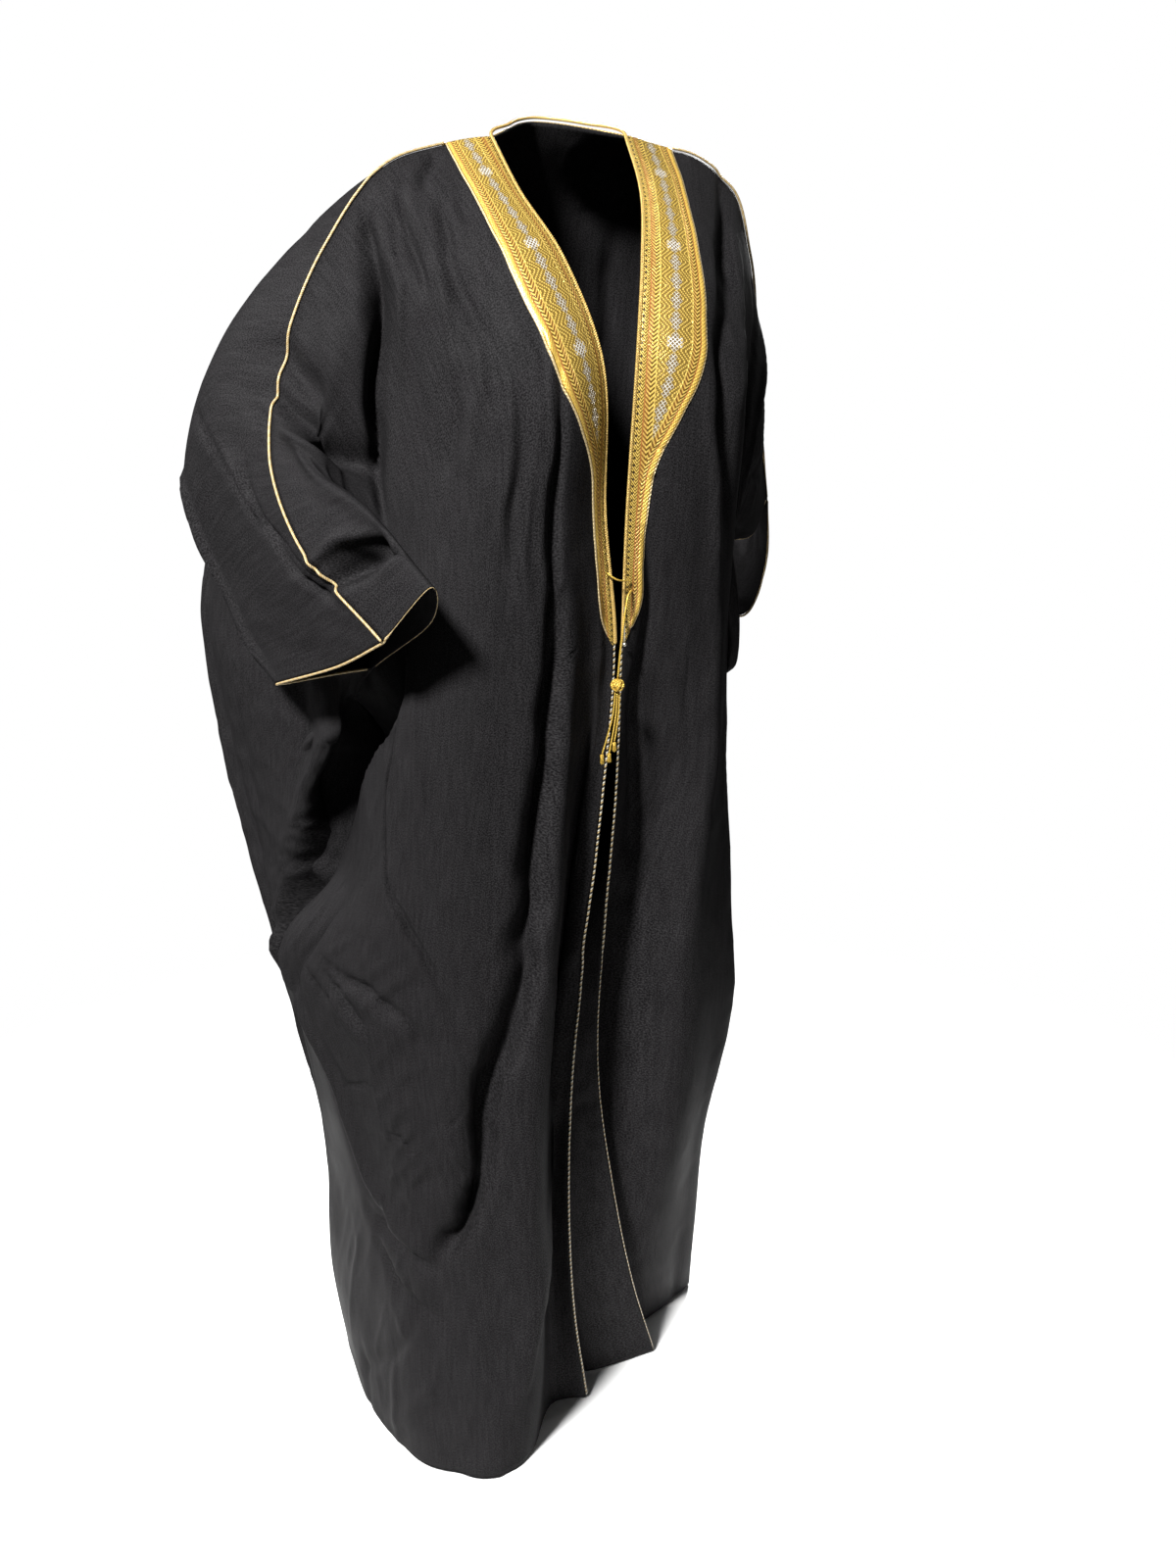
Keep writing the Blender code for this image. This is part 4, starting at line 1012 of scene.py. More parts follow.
def tube_parts(route, radii, around, twist):
    """Points, faces and UVs of a closed tube: radii is one per ring and side, twist one per ring."""
    sideways, upward = frames_along(route)
    rings = len(route)
    turn = np.linspace(0, 2 * math.pi, around, endpoint=False)[None, :, None]
    spoke = np.cos(turn) * sideways[:, None] + np.sin(turn) * upward[:, None]
    points = (route[:, None] + spoke * radii[..., None]).reshape(-1, 3)
    at = np.arange(rings * around).reshape(rings, around)
    beside = np.roll(at, -1, axis=1)
    sides = np.stack([at[:-1], at[1:], beside[1:], beside[:-1]], axis=-1).reshape(-1, 4)
    u = np.arange(around) / around
    across = np.stack([u, u, u + 1 / around, u + 1 / around], axis=-1)
    along = np.stack([twist[:-1], twist[1:], twist[1:], twist[:-1]], axis=-1)[:, None]
    shape = (rings - 1, around, 4)
    uv = np.stack([np.broadcast_to(part, shape) for part in (across, along)], axis=-1).reshape(-1, 2)
    on_caps = np.zeros((2 * around, 2))
    return points, [*sides.tolist(), at[0].tolist(), at[-1][::-1].tolist()], np.concatenate([uv, on_caps])


# A rope's ends are pinched to the root of this share of its radius, and its strands are rounded
# by this power.
PINCH = 0.09
STRAND_ROUND = 0.8


def rope(name, routes, radius, material, strands, pitch, depth, around, step, slim=None):
    """Twisted cord: one lobed tube for each route, all in one piece, with pinched closed ends.
    Slim is the length of a thinner start, mm, and its share of the radius."""
    points, faces, uvs = [], [], []
    turn = np.linspace(0, 2 * math.pi, around, endpoint=False)
    for route in routes:
        route = resampled(route, step)
        run = run_along(route)
        phase = strands * turn[None] / 2 - math.pi * run[:, None] * strands / pitch
        lobes = radius * (1 - depth + depth * np.abs(np.cos(phase)) ** STRAND_ROUND)
        if slim is not None:
            thick = eased(np.clip((run - slim[0]) / SLIM_BLEND + 0.5, 0, 1))
            lobes *= (slim[1] + (1 - slim[1]) * thick)[:, None]
        near_end = np.minimum(run, run[-1] - run)
        lobes *= np.sqrt(np.clip(near_end / radius, PINCH, 1))[:, None]
        part, sides, uv = tube_parts(route, lobes, around, run / pitch)
        start = sum(len(made) for made in points)
        points.append(part)
        faces += [[corner + start for corner in face] for face in sides]
        uvs.append(uv)
    return new_object(name, np.concatenate(points), faces, material, "strands", np.concatenate(uvs))


def primitive(name, add, place, material, **sizes):
    """A primitive at its place, shaded smooth and with its place put into its mesh."""
    bpy.ops.object.select_all(action="DESELECT")
    add(location=tuple(place_in_frame(place).tolist()), **sizes)
    piece = bpy.context.object
    piece.name = name
    bpy.ops.object.transform_apply(location=True, rotation=True, scale=True)
    bpy.ops.object.shade_smooth()
    piece.data.materials.append(material)
    return piece


def join(piece, other):
    """Joins another piece into one."""
    bpy.ops.object.select_all(action="DESELECT")
    other.select_set(True)
    piece.select_set(True)
    bpy.context.view_layer.objects.active = piece
    bpy.ops.object.join()


def finish_piece(piece, slot, *nodes):
    """Puts a finished piece on the model's body, in place of the nodes that it stands for."""
    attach(piece, BODY)
    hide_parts(*nodes)


# --- Materials --------------------------------------------------------------------------------


def feed(tree, slot, value):
    """Gives an input a field, a node's output or a plain value."""
    if isinstance(value, Field):
        tree.links.new(value.socket, slot)
    elif isinstance(value, bpy.types.NodeSocket):
        tree.links.new(value, slot)
    else:
        slot.default_value = value


def new_node(tree, kind, **values):
    """A new node, with the inputs that the values name."""
    node = tree.nodes.new("ShaderNode" + kind)
    for name, value in values.items():
        feed(tree, node.inputs[name], value)
    return node


class Field:
    """A number that varies over a surface, held as a chain of Math nodes."""

    def __init__(self, tree, socket):
        self.tree = tree
        self.socket = socket

    def math(self, operation, *others):
        node = self.tree.nodes.new("ShaderNodeMath")
        node.operation = operation
        for slot, value in zip(node.inputs, (self, *others)):
            feed(self.tree, slot, value)
        return Field(self.tree, node.outputs[0])

    def __add__(self, other):
        return self.math("ADD", other)

    def __sub__(self, other):
        return self.math("SUBTRACT", other)

    def __mul__(self, other):
        return self.math("MULTIPLY", other)

    def size(self):
        return self.math("ABSOLUTE")

    def whole(self):
        return self.math("FLOOR")

    def wrap(self, period):
        """The distance into a repeat."""
        return self.math("FLOORED_MODULO", period)

    def most(self, other):
        return self.math("MAXIMUM", other)

    def wave(self):
        """A sine from 0 to 1, of the number in radians."""
        return self.math("SINE") * 0.5 + 0.5

    def ramp(self, low, high, start=0.0, end=1.0):
        """A soft step from start to end as the number goes from low to high."""
        limits = {"Value": self, "From Min": low, "From Max": high, "To Min": start, "To Max": end}
        node = new_node(self.tree, "MapRange", **limits)
        node.interpolation_type = "SMOOTHSTEP"
        return Field(self.tree, node.outputs["Result"])

    def under(self, low, high):
        """1 below low, 0 above high."""
        return self.ramp(low, high, 1.0, 0.0)

    def within(self, middle, half, soft):
        """1 where the number is within half of the middle, 0 elsewhere."""
        return (self - middle).size().under(half - soft, half + soft)


class Finish:
    """A material under construction."""

    def __init__(self, name):
        self.material = bpy.data.materials.new(name)
        self.material.use_nodes = True
        self.tree = self.material.node_tree
        self.shader = self.tree.nodes["Principled BSDF"]
        self.material.diffuse_color = (0.5, 0.5, 0.5, 1)

    def attribute(self, name):
        node = self.tree.nodes.new("ShaderNodeAttribute")
        node.attribute_name = name
        return Field(self.tree, node.outputs["Fac"])

    def parts(self, vector):
        """The first two parts of a vector."""
        split = new_node(self.tree, "SeparateXYZ", Vector=vector)
        return tuple(Field(self.tree, split.outputs[axis]) for axis in (0, 1))

    def uv(self, name):
        node = self.tree.nodes.new("ShaderNodeUVMap")
        node.uv_map = name
        return self.parts(node.outputs[0])

    def here(self):
        """Where the point is on the finished piece."""
        return self.tree.nodes.new("ShaderNodeTexCoord").outputs["Object"]

    def noise(self, vector, scale, detail=2.0, rough=0.5):
        node = new_node(self.tree, "TexNoise", Vector=vector, Scale=scale, Detail=detail, Roughness=rough)
        return Field(self.tree, node.outputs["Fac"])

    def flat_noise(self, place, repeats, detail):
        """Noise on the flat cloth, at so many repeats a metre across and down."""
        across, down = (part * repeat for part, repeat in zip(place, repeats))
        node = new_node(self.tree, "CombineXYZ", X=across, Y=down)
        return self.noise(node.outputs[0], 1.0, detail, 0.6)

    def cells(self, vector, scale):
        node = new_node(self.tree, "TexVoronoi", Vector=vector, Scale=scale)
        split = new_node(self.tree, "SeparateColor", Color=node.outputs["Color"])
        return Field(self.tree, split.outputs[0])

    def mix(self, share, under, over):
        """Colour over on colour under, by share."""
        node = self.tree.nodes.new("ShaderNodeMix")
        node.data_type = "RGBA"
        feed(self.tree, node.inputs[0], share)
        for slot, value in ((node.inputs[6], under), (node.inputs[7], over)):
            feed(self.tree, slot, value if isinstance(value, bpy.types.NodeSocket) else (*value, 1))
        return node.outputs[2]

    def bump(self, *heights):
        """Heights are (field, strength, distance in metres), from coarse to fine."""
        normal = {}
        for field, strength, distance in heights:
            node = new_node(self.tree, "Bump", Height=field, Strength=strength, Distance=distance, **normal)
            normal = {"Normal": node.outputs[0]}
        self.set("Normal", normal["Normal"])

    def set(self, name, value):
        feed(self.tree, self.shader.inputs[name], value)


def black_cloth():
    """Plain-woven black cloth with a fine grain and pressed-in crinkles."""
    settings = bpy.context.scene.bisht_cloth
    finish = Finish("black_cloth")
    place = finish.uv("flat_cloth")
    grain = finish.flat_noise(place, GRAIN, 2.0)
    slub = finish.flat_noise(place, SLUB, 3.0)
    warp, weft = ((part * angle).math("SINE") for part, angle in zip(place, WEAVE))
    weave = (warp * weft) * 0.5 + 0.5
    here = finish.here()
    crinkle = finish.noise(here, 38.0, 1.5, 0.4)
    patchy = finish.noise(here, 9.0, 3.0, 0.5)
    # The weave's share of the thread colour is painted shade: darker in the hollows that the bump lowers.
    # The grain and slubs are the cloth's own uneven tone.
    thread = grain.ramp(0.38, 0.66) * 0.66 + weave * 0.14 + slub.ramp(0.3, 0.75) * 0.2
    finish.set("Base Color", finish.mix(thread, settings.dark, settings.light))
    rough = patchy.ramp(0.3, 0.7, settings.shine - 0.05, settings.shine + 0.07)
    finish.set("Roughness", rough - grain * 0.06)
    finish.set("Specular IOR Level", 0.015)
    finish.bump((crinkle, 0.3, 0.0010), (slub, 0.2, 0.0003), (grain, 0.35, 0.0003), (weave, 0.12, 0.0001))
    return finish.material


def threads_at(place, pitch):
    """Bright threads at a pitch: 1 on a thread, 0 between."""
    return ((place + PATTERN_START).wrap(pitch) * (1 / pitch) - 0.5).size().ramp(0.19, 0.33)


def diamond_chain(centre, along):
    """The lattice of the chain of stepped diamonds: where its cells lie, and their faces in them."""
    right, left = (
        place * (1 / LATTICE_CELL) + LATTICE_START for place in (centre + along, centre - along)
    )
    cell_right, cell_left = right.whole(), left.whole()
    cells_across = (cell_right + cell_left - (2 * LATTICE_START - 1)).size()
    cells_along = ((cell_right - cell_left).wrap(CHAIN_CELLS) - CHAIN_CELLS / 2).size()
    chain = (cells_across + cells_along * 0.5).under(CHAIN_REACH, CHAIN_REACH + 0.1)
    borders = [(side.wrap(1.0) - 0.5).size() for side in (right, left)]
    return chain.most(cells_across.under(0.4, 0.6)), borders[0].most(borders[1]).ramp(0.32, 0.40)


def stepped_hooks(centre, along):
    """The stepped hooks beside the chain."""
    period = CHAIN_CELLS * LATTICE_CELL / 2
    swing = ((along + PATTERN_START).wrap(period) - period / 2).size()
    steps = (centre.size() * (1 / KEY_STEP)).whole() + (swing * (1 / KEY_STEP)).whole()
    return (steps.wrap(3.0) - 1.0).size().under(0.2, 0.9)


def woven_gold():
    """The band's gold weave: chevron borders, copper lines and a chain of diamonds between hooks."""
    trim = bpy.context.scene.bisht_trim
    finish = Finish("gold_band")
    edge, outer, along = (finish.attribute(fact) for fact in ("edge_mm", "outer_mm", "along_mm"))
    wide = (edge + outer).ramp(30.0, 42.0)
    speck = finish.noise(finish.here(), 1100.0, 2.0, 0.6)
    glint = finish.cells(finish.here(), 900.0)
    gold = finish.mix(speck.ramp(0.3, 0.7), tuple(0.72 * part for part in trim.gold), trim.gold)

    def threaded(under, mask, threads, between=trim.dark_gold_and_shade):
        """Lays a zone of bright threads on a colour, with the darker colour between them: partly the
        weave's dark ground and partly painted shade.
        """
        return finish.mix(mask, under, finish.mix(threads, between, trim.gold_light))

    centre = (edge - outer) * 0.5
    chain, lattice = diamond_chain(centre, along)
    hooks = stepped_hooks(centre, along)
    starred = (along * (1 / STAR_REPEAT) + 0.45).wrap(1.0).ramp(0.90, 0.91)
    field = finish.mix(hooks * 0.85 + 0.15, trim.dark_gold_and_shade, trim.gold_light)
    field = finish.mix(chain, field, finish.mix(lattice, DIAMOND_BROWN, trim.silver))
    field = finish.mix(starred * centre.size().under(5.0, 9.0) * lattice, field, STAR_WHITE)

    bone_out = threads_at(along + (outer - OUTER_BONE).size() * 1.1, 4.0)
    bone_in = threads_at(along + (edge - EDGE_BONE).size(), 4.2)
    narrow = threads_at(along + (edge - EDGE_NARROW_BONE).size() * 1.3, 3.0)
    ribs = threads_at(outer + along * 0.55, 1.9)

    colour = threaded(gold, outer.ramp(-0.2, 0.0), bone_out)
    colour = finish.mix(outer.within(OUTER_COPPER, 1.6, 0.5) * 0.35, colour, trim.copper)
    tail = threaded(gold, edge.ramp(-0.2, 0.0), bone_in)
    tail = finish.mix(edge.within(EDGE_COPPER, 1.8, 0.5) * 0.4, tail, trim.copper)
    colour = finish.mix((edge - outer).ramp(-1.0, 1.0), tail, colour)
    in_edge = edge.ramp(EDGE_FIELD + 0.2, EDGE_FIELD + 0.6)
    inside = in_edge * outer.ramp(OUTER_FIELD, OUTER_FIELD + 0.4) * wide
    colour = finish.mix(inside, colour, field)
    for line in (edge.within(EDGE_FIELD, 0.5, 0.3), outer.within(OUTER_FIELD, 0.5, 0.3)):
        colour = finish.mix(line * wide, colour, trim.gold_light)
    colour = finish.mix(outer.within(OUTER_LINE, 0.6, 0.3), colour, trim.copper)
    colour = threaded(colour, outer.under(OUTER_BORDER, OUTER_BORDER + 0.5), ribs, trim.gold)
    # Painted shade: the groove beside the outer selvedge is darkened.
    colour = finish.mix(outer.within(OUTER_GROOVE, 0.35, 0.25), colour, trim.dark_gold_and_shade)
    colour = finish.mix(outer.under(OUTER_SELVEDGE, OUTER_SELVEDGE + 0.4), colour, PALE_BRIGHT)
    colour = finish.mix(edge.within(EDGE_LINE, 0.6, 0.3), colour, trim.copper)
    colour = threaded(colour, edge.under(EDGE_BORDER, EDGE_BORDER + 0.4), narrow)
    in_row = (along.wrap(PIT_REPEAT) - PIT_REPEAT / 2).size().under(0.8, 1.5)
    pits = in_row * edge.within(EDGE_PITS, 1.0, 0.4)
    colour = finish.mix(pits, colour, PIT_BROWN)

    # Painted shade: the hollows of the weave, which the bump lowers, are darkened.
    passes = (along * (2 * math.pi / WEFT_PITCH)).wave()
    weave = passes * (edge * (2 * math.pi / WARP_PITCH)).wave()
    finish.set("Base Color", finish.mix(weave * 0.3, colour, trim.dark_gold_and_shade))
    finish.set("Metallic", 0.3)
    finish.set("Roughness", glint.ramp(0.0, 1.0, 0.22, 0.5))
    raised = inside * (hooks * 0.6 + chain * lattice) + (inside * -1.0 + 1.0) * bone_out * 0.5 - pits
    finish.bump((raised, 0.9, 0.0006), (weave, -0.5, 0.0003), (glint, 0.3, 0.0003), (speck, 0.3, 0.0003))
    return finish.material


def metal_thread(finish, colour, speck, metallic, rough):
    """Sets the colour and the shine of metal thread."""
    finish.set("Base Color", colour)
    finish.set("Metallic", metallic)
    finish.set("Roughness", speck.ramp(0.3, 0.7, rough - 0.08, rough + 0.1))


# Turns added to a cord's twist, to keep it above nought.
TWIST_START = 400.0


def twisted(name, light, dark, strands, metallic, rough, alternate=None, dark_strand=False):
    """Thread wound into a cord: each strand in its own colour, with painted shade in the grooves between
    the strands and between their fine threads. Some of the strands may have another colour, and one may be
    dark."""
    finish = Finish(name)
    around, run = finish.uv("strands")
    turns = around * float(strands) - run * float(strands) + TWIST_START
    phase = turns.wrap(1.0)
    ridge = (phase - 0.5).size().under(0.26, 0.47)
    threads = ((phase * 5.0).wrap(1.0) - 0.5).size()
    speck = finish.noise(finish.here(), 1400.0, 2.0, 0.6)
    body = light
    if alternate is not None:
        strand = (turns * (1 / strands)).wrap(1.0)
        body = finish.mix(strand.ramp(0.36, 0.42), light, alternate)
        if dark_strand:
            body = finish.mix(strand.ramp(0.68, 0.74), body, dark)
    # Painted shade: the dark colour fills the grooves between the strands and darkens the lines between
    # their fine threads.
    colour = finish.mix(ridge, dark, body)
    colour = finish.mix(threads.ramp(0.3, 0.5) * 0.3, colour, dark)
    metal_thread(finish, colour, speck, metallic, rough)
    finish.bump((ridge, 0.5, 0.0003), (threads, 0.4, 0.00012), (speck, 0.3, 0.0002))
    return finish.material


def plain_thread(name, tint, metallic, rough):
    """A bundle of fine metal-wrapped threads."""
    finish = Finish(name)
    speck = finish.noise(finish.here(), 1200.0, 3.0, 0.6)
    shade = tuple(0.35 * part for part in tint)
    metal_thread(finish, finish.mix(speck.ramp(0.35, 0.6), shade, tint), speck, metallic, rough)
    finish.bump((speck, 0.6, 0.0004))
    return finish.material


# --- Routes -----------------------------------------------------------------------------------


# The level of the shoulder seam, the spacing of the points on a route, and the points that
# carry the plaited cord over the back of the neck.
TOP = np.array([0.0])
ROUTE_PITCH = 4.0
FRONT_PITCH = 5.0
NECK_RIM_POINTS = 5


def beside_edge(piece, down, edge, inward, reach, lift):
    """Route along an open edge, a reach outside it and a lift above the cloth. Inward is a step
    across that leads into the piece."""
    at = np.full((len(down), 1), float(edge))
    line = piece.cloth(down, at)[:, 0]
    facing = piece.facing(down, at)[:, 0]
    inside = piece.smooth(down, at + inward)[:, 0] - piece.smooth(down, at)[:, 0]
    away = unit(np.cross(unit(np.gradient(line, axis=0)), facing))
    away *= -np.sign((away * inside).sum(1, keepdims=True))
    return line + away * reach + facing * lift


def plait(route, width, thickness, pitch, strands=3):
    """The routes of strands plaited round a middle line: width across, thickness in and out."""
    route = resampled(route, pitch / 10)
    sideways, upward = frames_along(route)
    phase = run_along(route)[:, None] * 2 * math.pi / pitch
    paths = []
    for strand in range(strands):
        turn = phase + strand * 2 * math.pi / strands
        paths.append(route + sideways * width * np.sin(turn) + upward * thickness * np.sin(2 * turn))
    return paths


# --- Operators --------------------------------------------------------------------------------


class BISHT_OT_stage(bpy.types.Operator):
    """Sets the camera, the lights and the pale floor"""

    bl_idname = "bisht.stage"
    bl_label = "Stage"

    def execute(self, context):
        stage = context.scene.bisht_stage
        lens = bpy.data.cameras.new("camera")
        lens.sensor_width = SENSOR_WIDTH
        lens.lens = LENS
        lens.clip_start = NEAREST_SEEN
        camera = bpy.data.objects.new("camera", lens)
        camera.location = CAMERA_PLACE
        camera.rotation_euler = (math.radians(90 - CAMERA_DOWN), 0, math.radians(-CAMERA_LEFT))
        context.scene.collection.objects.link(camera)
        context.scene.camera = camera
        for name, (place, size, setting) in LIGHTS.items():
            lamp = bpy.data.lights.new(name, "AREA")
            lamp.shape = "DISK"
            lamp.size = size
            lamp.energy = getattr(stage, setting)
            light = bpy.data.objects.new(name, lamp)
            light.location = place
            light.rotation_euler = (LIGHT_TARGET - Vector(place)).to_track_quat("-Z", "Y").to_euler()
            context.scene.collection.objects.link(light)
        self.surroundings(context, stage)
        bpy.ops.object.select_all(action="DESELECT")
        bpy.ops.mesh.primitive_circle_add(
            vertices=FLOOR_SIDES, radius=FLOOR_RADIUS, fill_type="NGON", location=(0, 0, -HELD_HEIGHT * MM)
        )
        floor = context.object
        floor.name = "floor"
        finish = Finish("floor")
        finish.set("Base Color", (*stage.floor, 1))
        finish.set("Roughness", 0.85)
        x, y = finish.parts(finish.here())
        from_middle = (x * x + y * y).math("SQRT")
        finish.set("Alpha", from_middle.under(FLOOR_FADES_FROM, FLOOR_GONE_AT))
        floor.data.materials.append(finish.material)
        context.scene.view_settings.view_transform = "Standard"
        return {"FINISHED"}

    def surroundings(self, context, stage):
        """A pale room that the camera sees, and a softer light from it on the pieces."""
        world = bpy.data.worlds.new("pale_room")
        world.use_nodes = True
        tree = world.node_tree
        seen = tree.nodes["Background"]
        soft = tree.nodes.new("ShaderNodeBackground")
        for sky, brightness in ((seen, stage.sky), (soft, stage.soft)):
            sky.inputs[0].default_value = (*SKY_COLOUR, 1)
            sky.inputs[1].default_value = brightness
        ray = tree.nodes.new("ShaderNodeLightPath")
        either = tree.nodes.new("ShaderNodeMixShader")
        tree.links.new(ray.outputs["Is Camera Ray"], either.inputs[0])
        tree.links.new(soft.outputs[0], either.inputs[1])
        tree.links.new(seen.outputs[0], either.inputs[2])
        tree.links.new(either.outputs[0], tree.nodes["World Output"].inputs[0])
        context.scene.world = world


class BISHT_OT_cloth(bpy.types.Operator):
    """Makes the two fronts and the back"""

    bl_idname = "bisht.cloth"
    bl_label = "Cloth"

    def execute(self, context):
        settings = context.scene.bisht_cloth
        black = black_cloth()
        for piece in (RIGHT, LEFT, BACK_PIECE):
            piece.warp = settings.warp
            down = graded(CLOTH_DOWN, *ROWS[piece.name])
            across = columns_of(piece, down)
            grid = piece.cloth(down, across)
            uv = flat_cloth(down, across)
            made = shell("cloth_" + piece.node, grid, piece.side, 0.0, settings.wall, uv, black)
            finish_piece(made, "black_cloth", piece.node)
        return {"FINISHED"}


class BISHT_OT_band(bpy.types.Operator):
    """Makes the woven gold band on the fronts and round the neck"""

    bl_idname = "bisht.band"
    bl_label = "Gold Band"

    def execute(self, context):
        wall = context.scene.bisht_trim.band_wall
        gold = woven_gold()
        down = np.linspace(0, BAND_DOWN, BAND_ROWS)
        width = band_width(down) + BAND_WAVER * Ripple(31, 26)(down, np.zeros_like(down))
        across = np.linspace(0, 1, BAND_COLUMNS)[None] * width[:, None]
        for piece in (RIGHT, LEFT):
            self.strip(piece, down, across, wall, gold)
        down = np.linspace(NECK_BAND_START, NECK_BAND_DROP, NECK_BAND_ROWS)
        ends = NECK_MIDDLE - NECK_BAND_HALF, NECK_MIDDLE + NECK_BAND_HALF
        across = np.tile(np.linspace(*ends, NECK_BAND_COLUMNS), (NECK_BAND_ROWS, 1))
        grid = BACK_PIECE.cloth(down, across)
        uv = flat_cloth(down, across)
        edge = np.broadcast_to(down[:, None], across.shape)
        facts = {"edge_mm": edge, "outer_mm": NECK_BAND_DROP - edge, "along_mm": across - NECK_MIDDLE}
        made = shell("gold_band_neck", grid, BACK_PIECE.side, BAND_GAP + wall, wall, uv, gold, facts)
        finish_piece(made, "gold_band", "band_neck")
        return {"FINISHED"}

    def strip(self, piece, down, across, wall, gold):
        """The band down one front: ribbed, rolled over at its edges and a little puckered."""
        levels = np.broadcast_to(down[:, None], across.shape)
        width = across[:, -1:]
        facts = {"edge_mm": across, "outer_mm": width - across, "along_mm": levels}
        roll = np.exp(-((across / 1.3) ** 2)) + np.exp(-((facts["outer_mm"] / 1.2) ** 2))
        ribs = np.zeros_like(across)
        for side, place, half, height in BAND_RIBS:
            ribs += height * np.exp(-(((facts[side] - place) / half) ** 2))
        ribs *= np.clip((width - 14) / 20, 0.35, 1)
        pucker = BAND_PUCKER * Ripple(33, 9, 0, 0.5)(levels, across)
        lift = BAND_GAP + wall + ribs + pucker - BAND_ROLL * roll
        lift[0] += BAND_TOP_LIFT
        grid = piece.cloth(down, across)
        uv = flat_cloth(down, across)
        name = "gold_band_" + piece.name
        made = shell(name, grid, piece.side, lift[..., None], wall, uv, gold, facts)
        finish_piece(made, "gold_band", "band_" + piece.name)


class BISHT_OT_plaited_cord(bpy.types.Operator):
    """Makes the plaited cord that edges the band, up one front, round the neck and down the other"""

    bl_idname = "bisht.plaited_cord"
    bl_label = "Plaited Cord"

    def execute(self, context):
        trim = context.scene.bisht_trim
        down = np.arange(0, BAND_DOWN + 1.0, ROUTE_PITCH)
        reach = trim.cord_radius + EDGE_GAP
        lift = BAND_GAP + trim.band_wall / 2
        rise_right, rise_left = (
            beside_edge(piece, down, 0, INWARD, reach, lift) for piece in (RIGHT, LEFT)
        )
        ends = NECK_MIDDLE - NECK_RIM_HALF, NECK_MIDDLE + NECK_RIM_HALF
        rim = BACK_PIECE.cloth(TOP, np.linspace(*ends, NECK_RIM_POINTS)[None])[0]
        over_neck = rim + [0, 0, trim.cord_radius + NECK_CORD_LIFT]
        middle = np.concatenate([rise_right[::-1], over_neck, rise_left])
        braid = twisted("gold_braid", BRAID_LIGHT, trim.dark_gold_and_shade, 3, 0.35, 0.34)
        strand = trim.cord_radius * STRAND_SHARE
        routes = plait(middle, trim.cord_radius - strand, strand * PLAIT_FLAT, PLAIT_PITCH)
        made = rope("plaited_cord", routes, strand, braid, **BRAID_TWIST)
        finish_piece(made, "gold_braid", "band_cord")
        return {"FINISHED"}


class BISHT_OT_pipings(bpy.types.Operator):
    """Makes the twisted pipings on the shoulders and arms, round the cuffs and down the fronts"""

    bl_idname = "bisht.pipings"
    bl_label = "Pipings"

    def execute(self, context):
        trim = context.scene.bisht_trim
        pale = twisted("pale_gold_piping", trim.pale_gold, PALE_SHADE, 4, 0.15, 0.42, PALE_BRIGHT)
        shades = SILVER_THREAD, BLACK_THREAD_AND_GROOVE_SHADE
        silver = twisted("silver_gold_piping", *shades, 3, 0.15, 0.40, trim.pale_gold, dark_strand=True)
        for piece, across, back_edge in ((RIGHT, RIGHT_ACROSS, 0), (LEFT, LEFT_ACROSS, BACK_ACROSS)):
            down = np.arange(BAND_DOWN, CLOTH_DOWN + 1.0, FRONT_PITCH)
            route = beside_edge(piece, down, 0, INWARD, trim.edge_radius + EDGE_GAP, -SUNK)[::-1]
            slim = None if piece is RIGHT else (CLOTH_DOWN - TURNED_FROM, TURNED_SHARE)
            name = "front_piping_" + piece.name
            made = rope(name, [route], trim.edge_radius, silver, **SILVER_TWIST, slim=slim)
            finish_piece(made, "silver_gold_piping", "edge_piping_" + piece.name)

            places = np.arange(SHOULDER_PIPING_FROM, across + 1.0, ROUTE_PITCH)
            seam = piece.cloth(TOP, places[None])[0]
            other = NECK_RIGHT - places if piece is RIGHT else NECK_LEFT + places
            facing = unit(piece.facing(TOP, places[None])[0] + BACK_PIECE.facing(TOP, other[None])[0])
            route = seam + facing * (trim.seam_radius + PIPING_LIFT)
            name = "shoulder_piping_" + piece.name
            made = rope(name, [route], trim.seam_radius, pale, **PALE_TWIST)
            finish_piece(made, "pale_gold_piping", "arm_piping_" + piece.name)

            down = np.arange(CUFF_STARTS, CUFF_DOWN - 3.0, ROUTE_PITCH)
            reach = trim.cuff_radius * CUFF_TUCK + EDGE_GAP
            front = beside_edge(piece, down, across, -INWARD, reach, -SUNK)
            inward = INWARD if back_edge == 0 else -INWARD
            reach = trim.cuff_radius + EDGE_GAP
            behind = beside_edge(BACK_PIECE, down, back_edge, inward, reach, -SUNK)
            tip = piece.cloth(TOP, np.array([[float(across)]]))[0, 0]
            corner = tip + unit((front[0] + behind[0]) / 2 - tip) * CUFF_CORNER
            route = np.concatenate([front[::-1], [corner], behind])
            slim = (run_along(front)[-1] - SLIM_BLEND / 2, CUFF_TUCK)
            name = "cuff_edging_" + piece.name
            made = rope(name, [route], trim.cuff_radius, pale, **PALE_TWIST, slim=slim)
            finish_piece(made, "pale_gold_piping", "cuff_piping_" + piece.name)
        return {"FINISHED"}


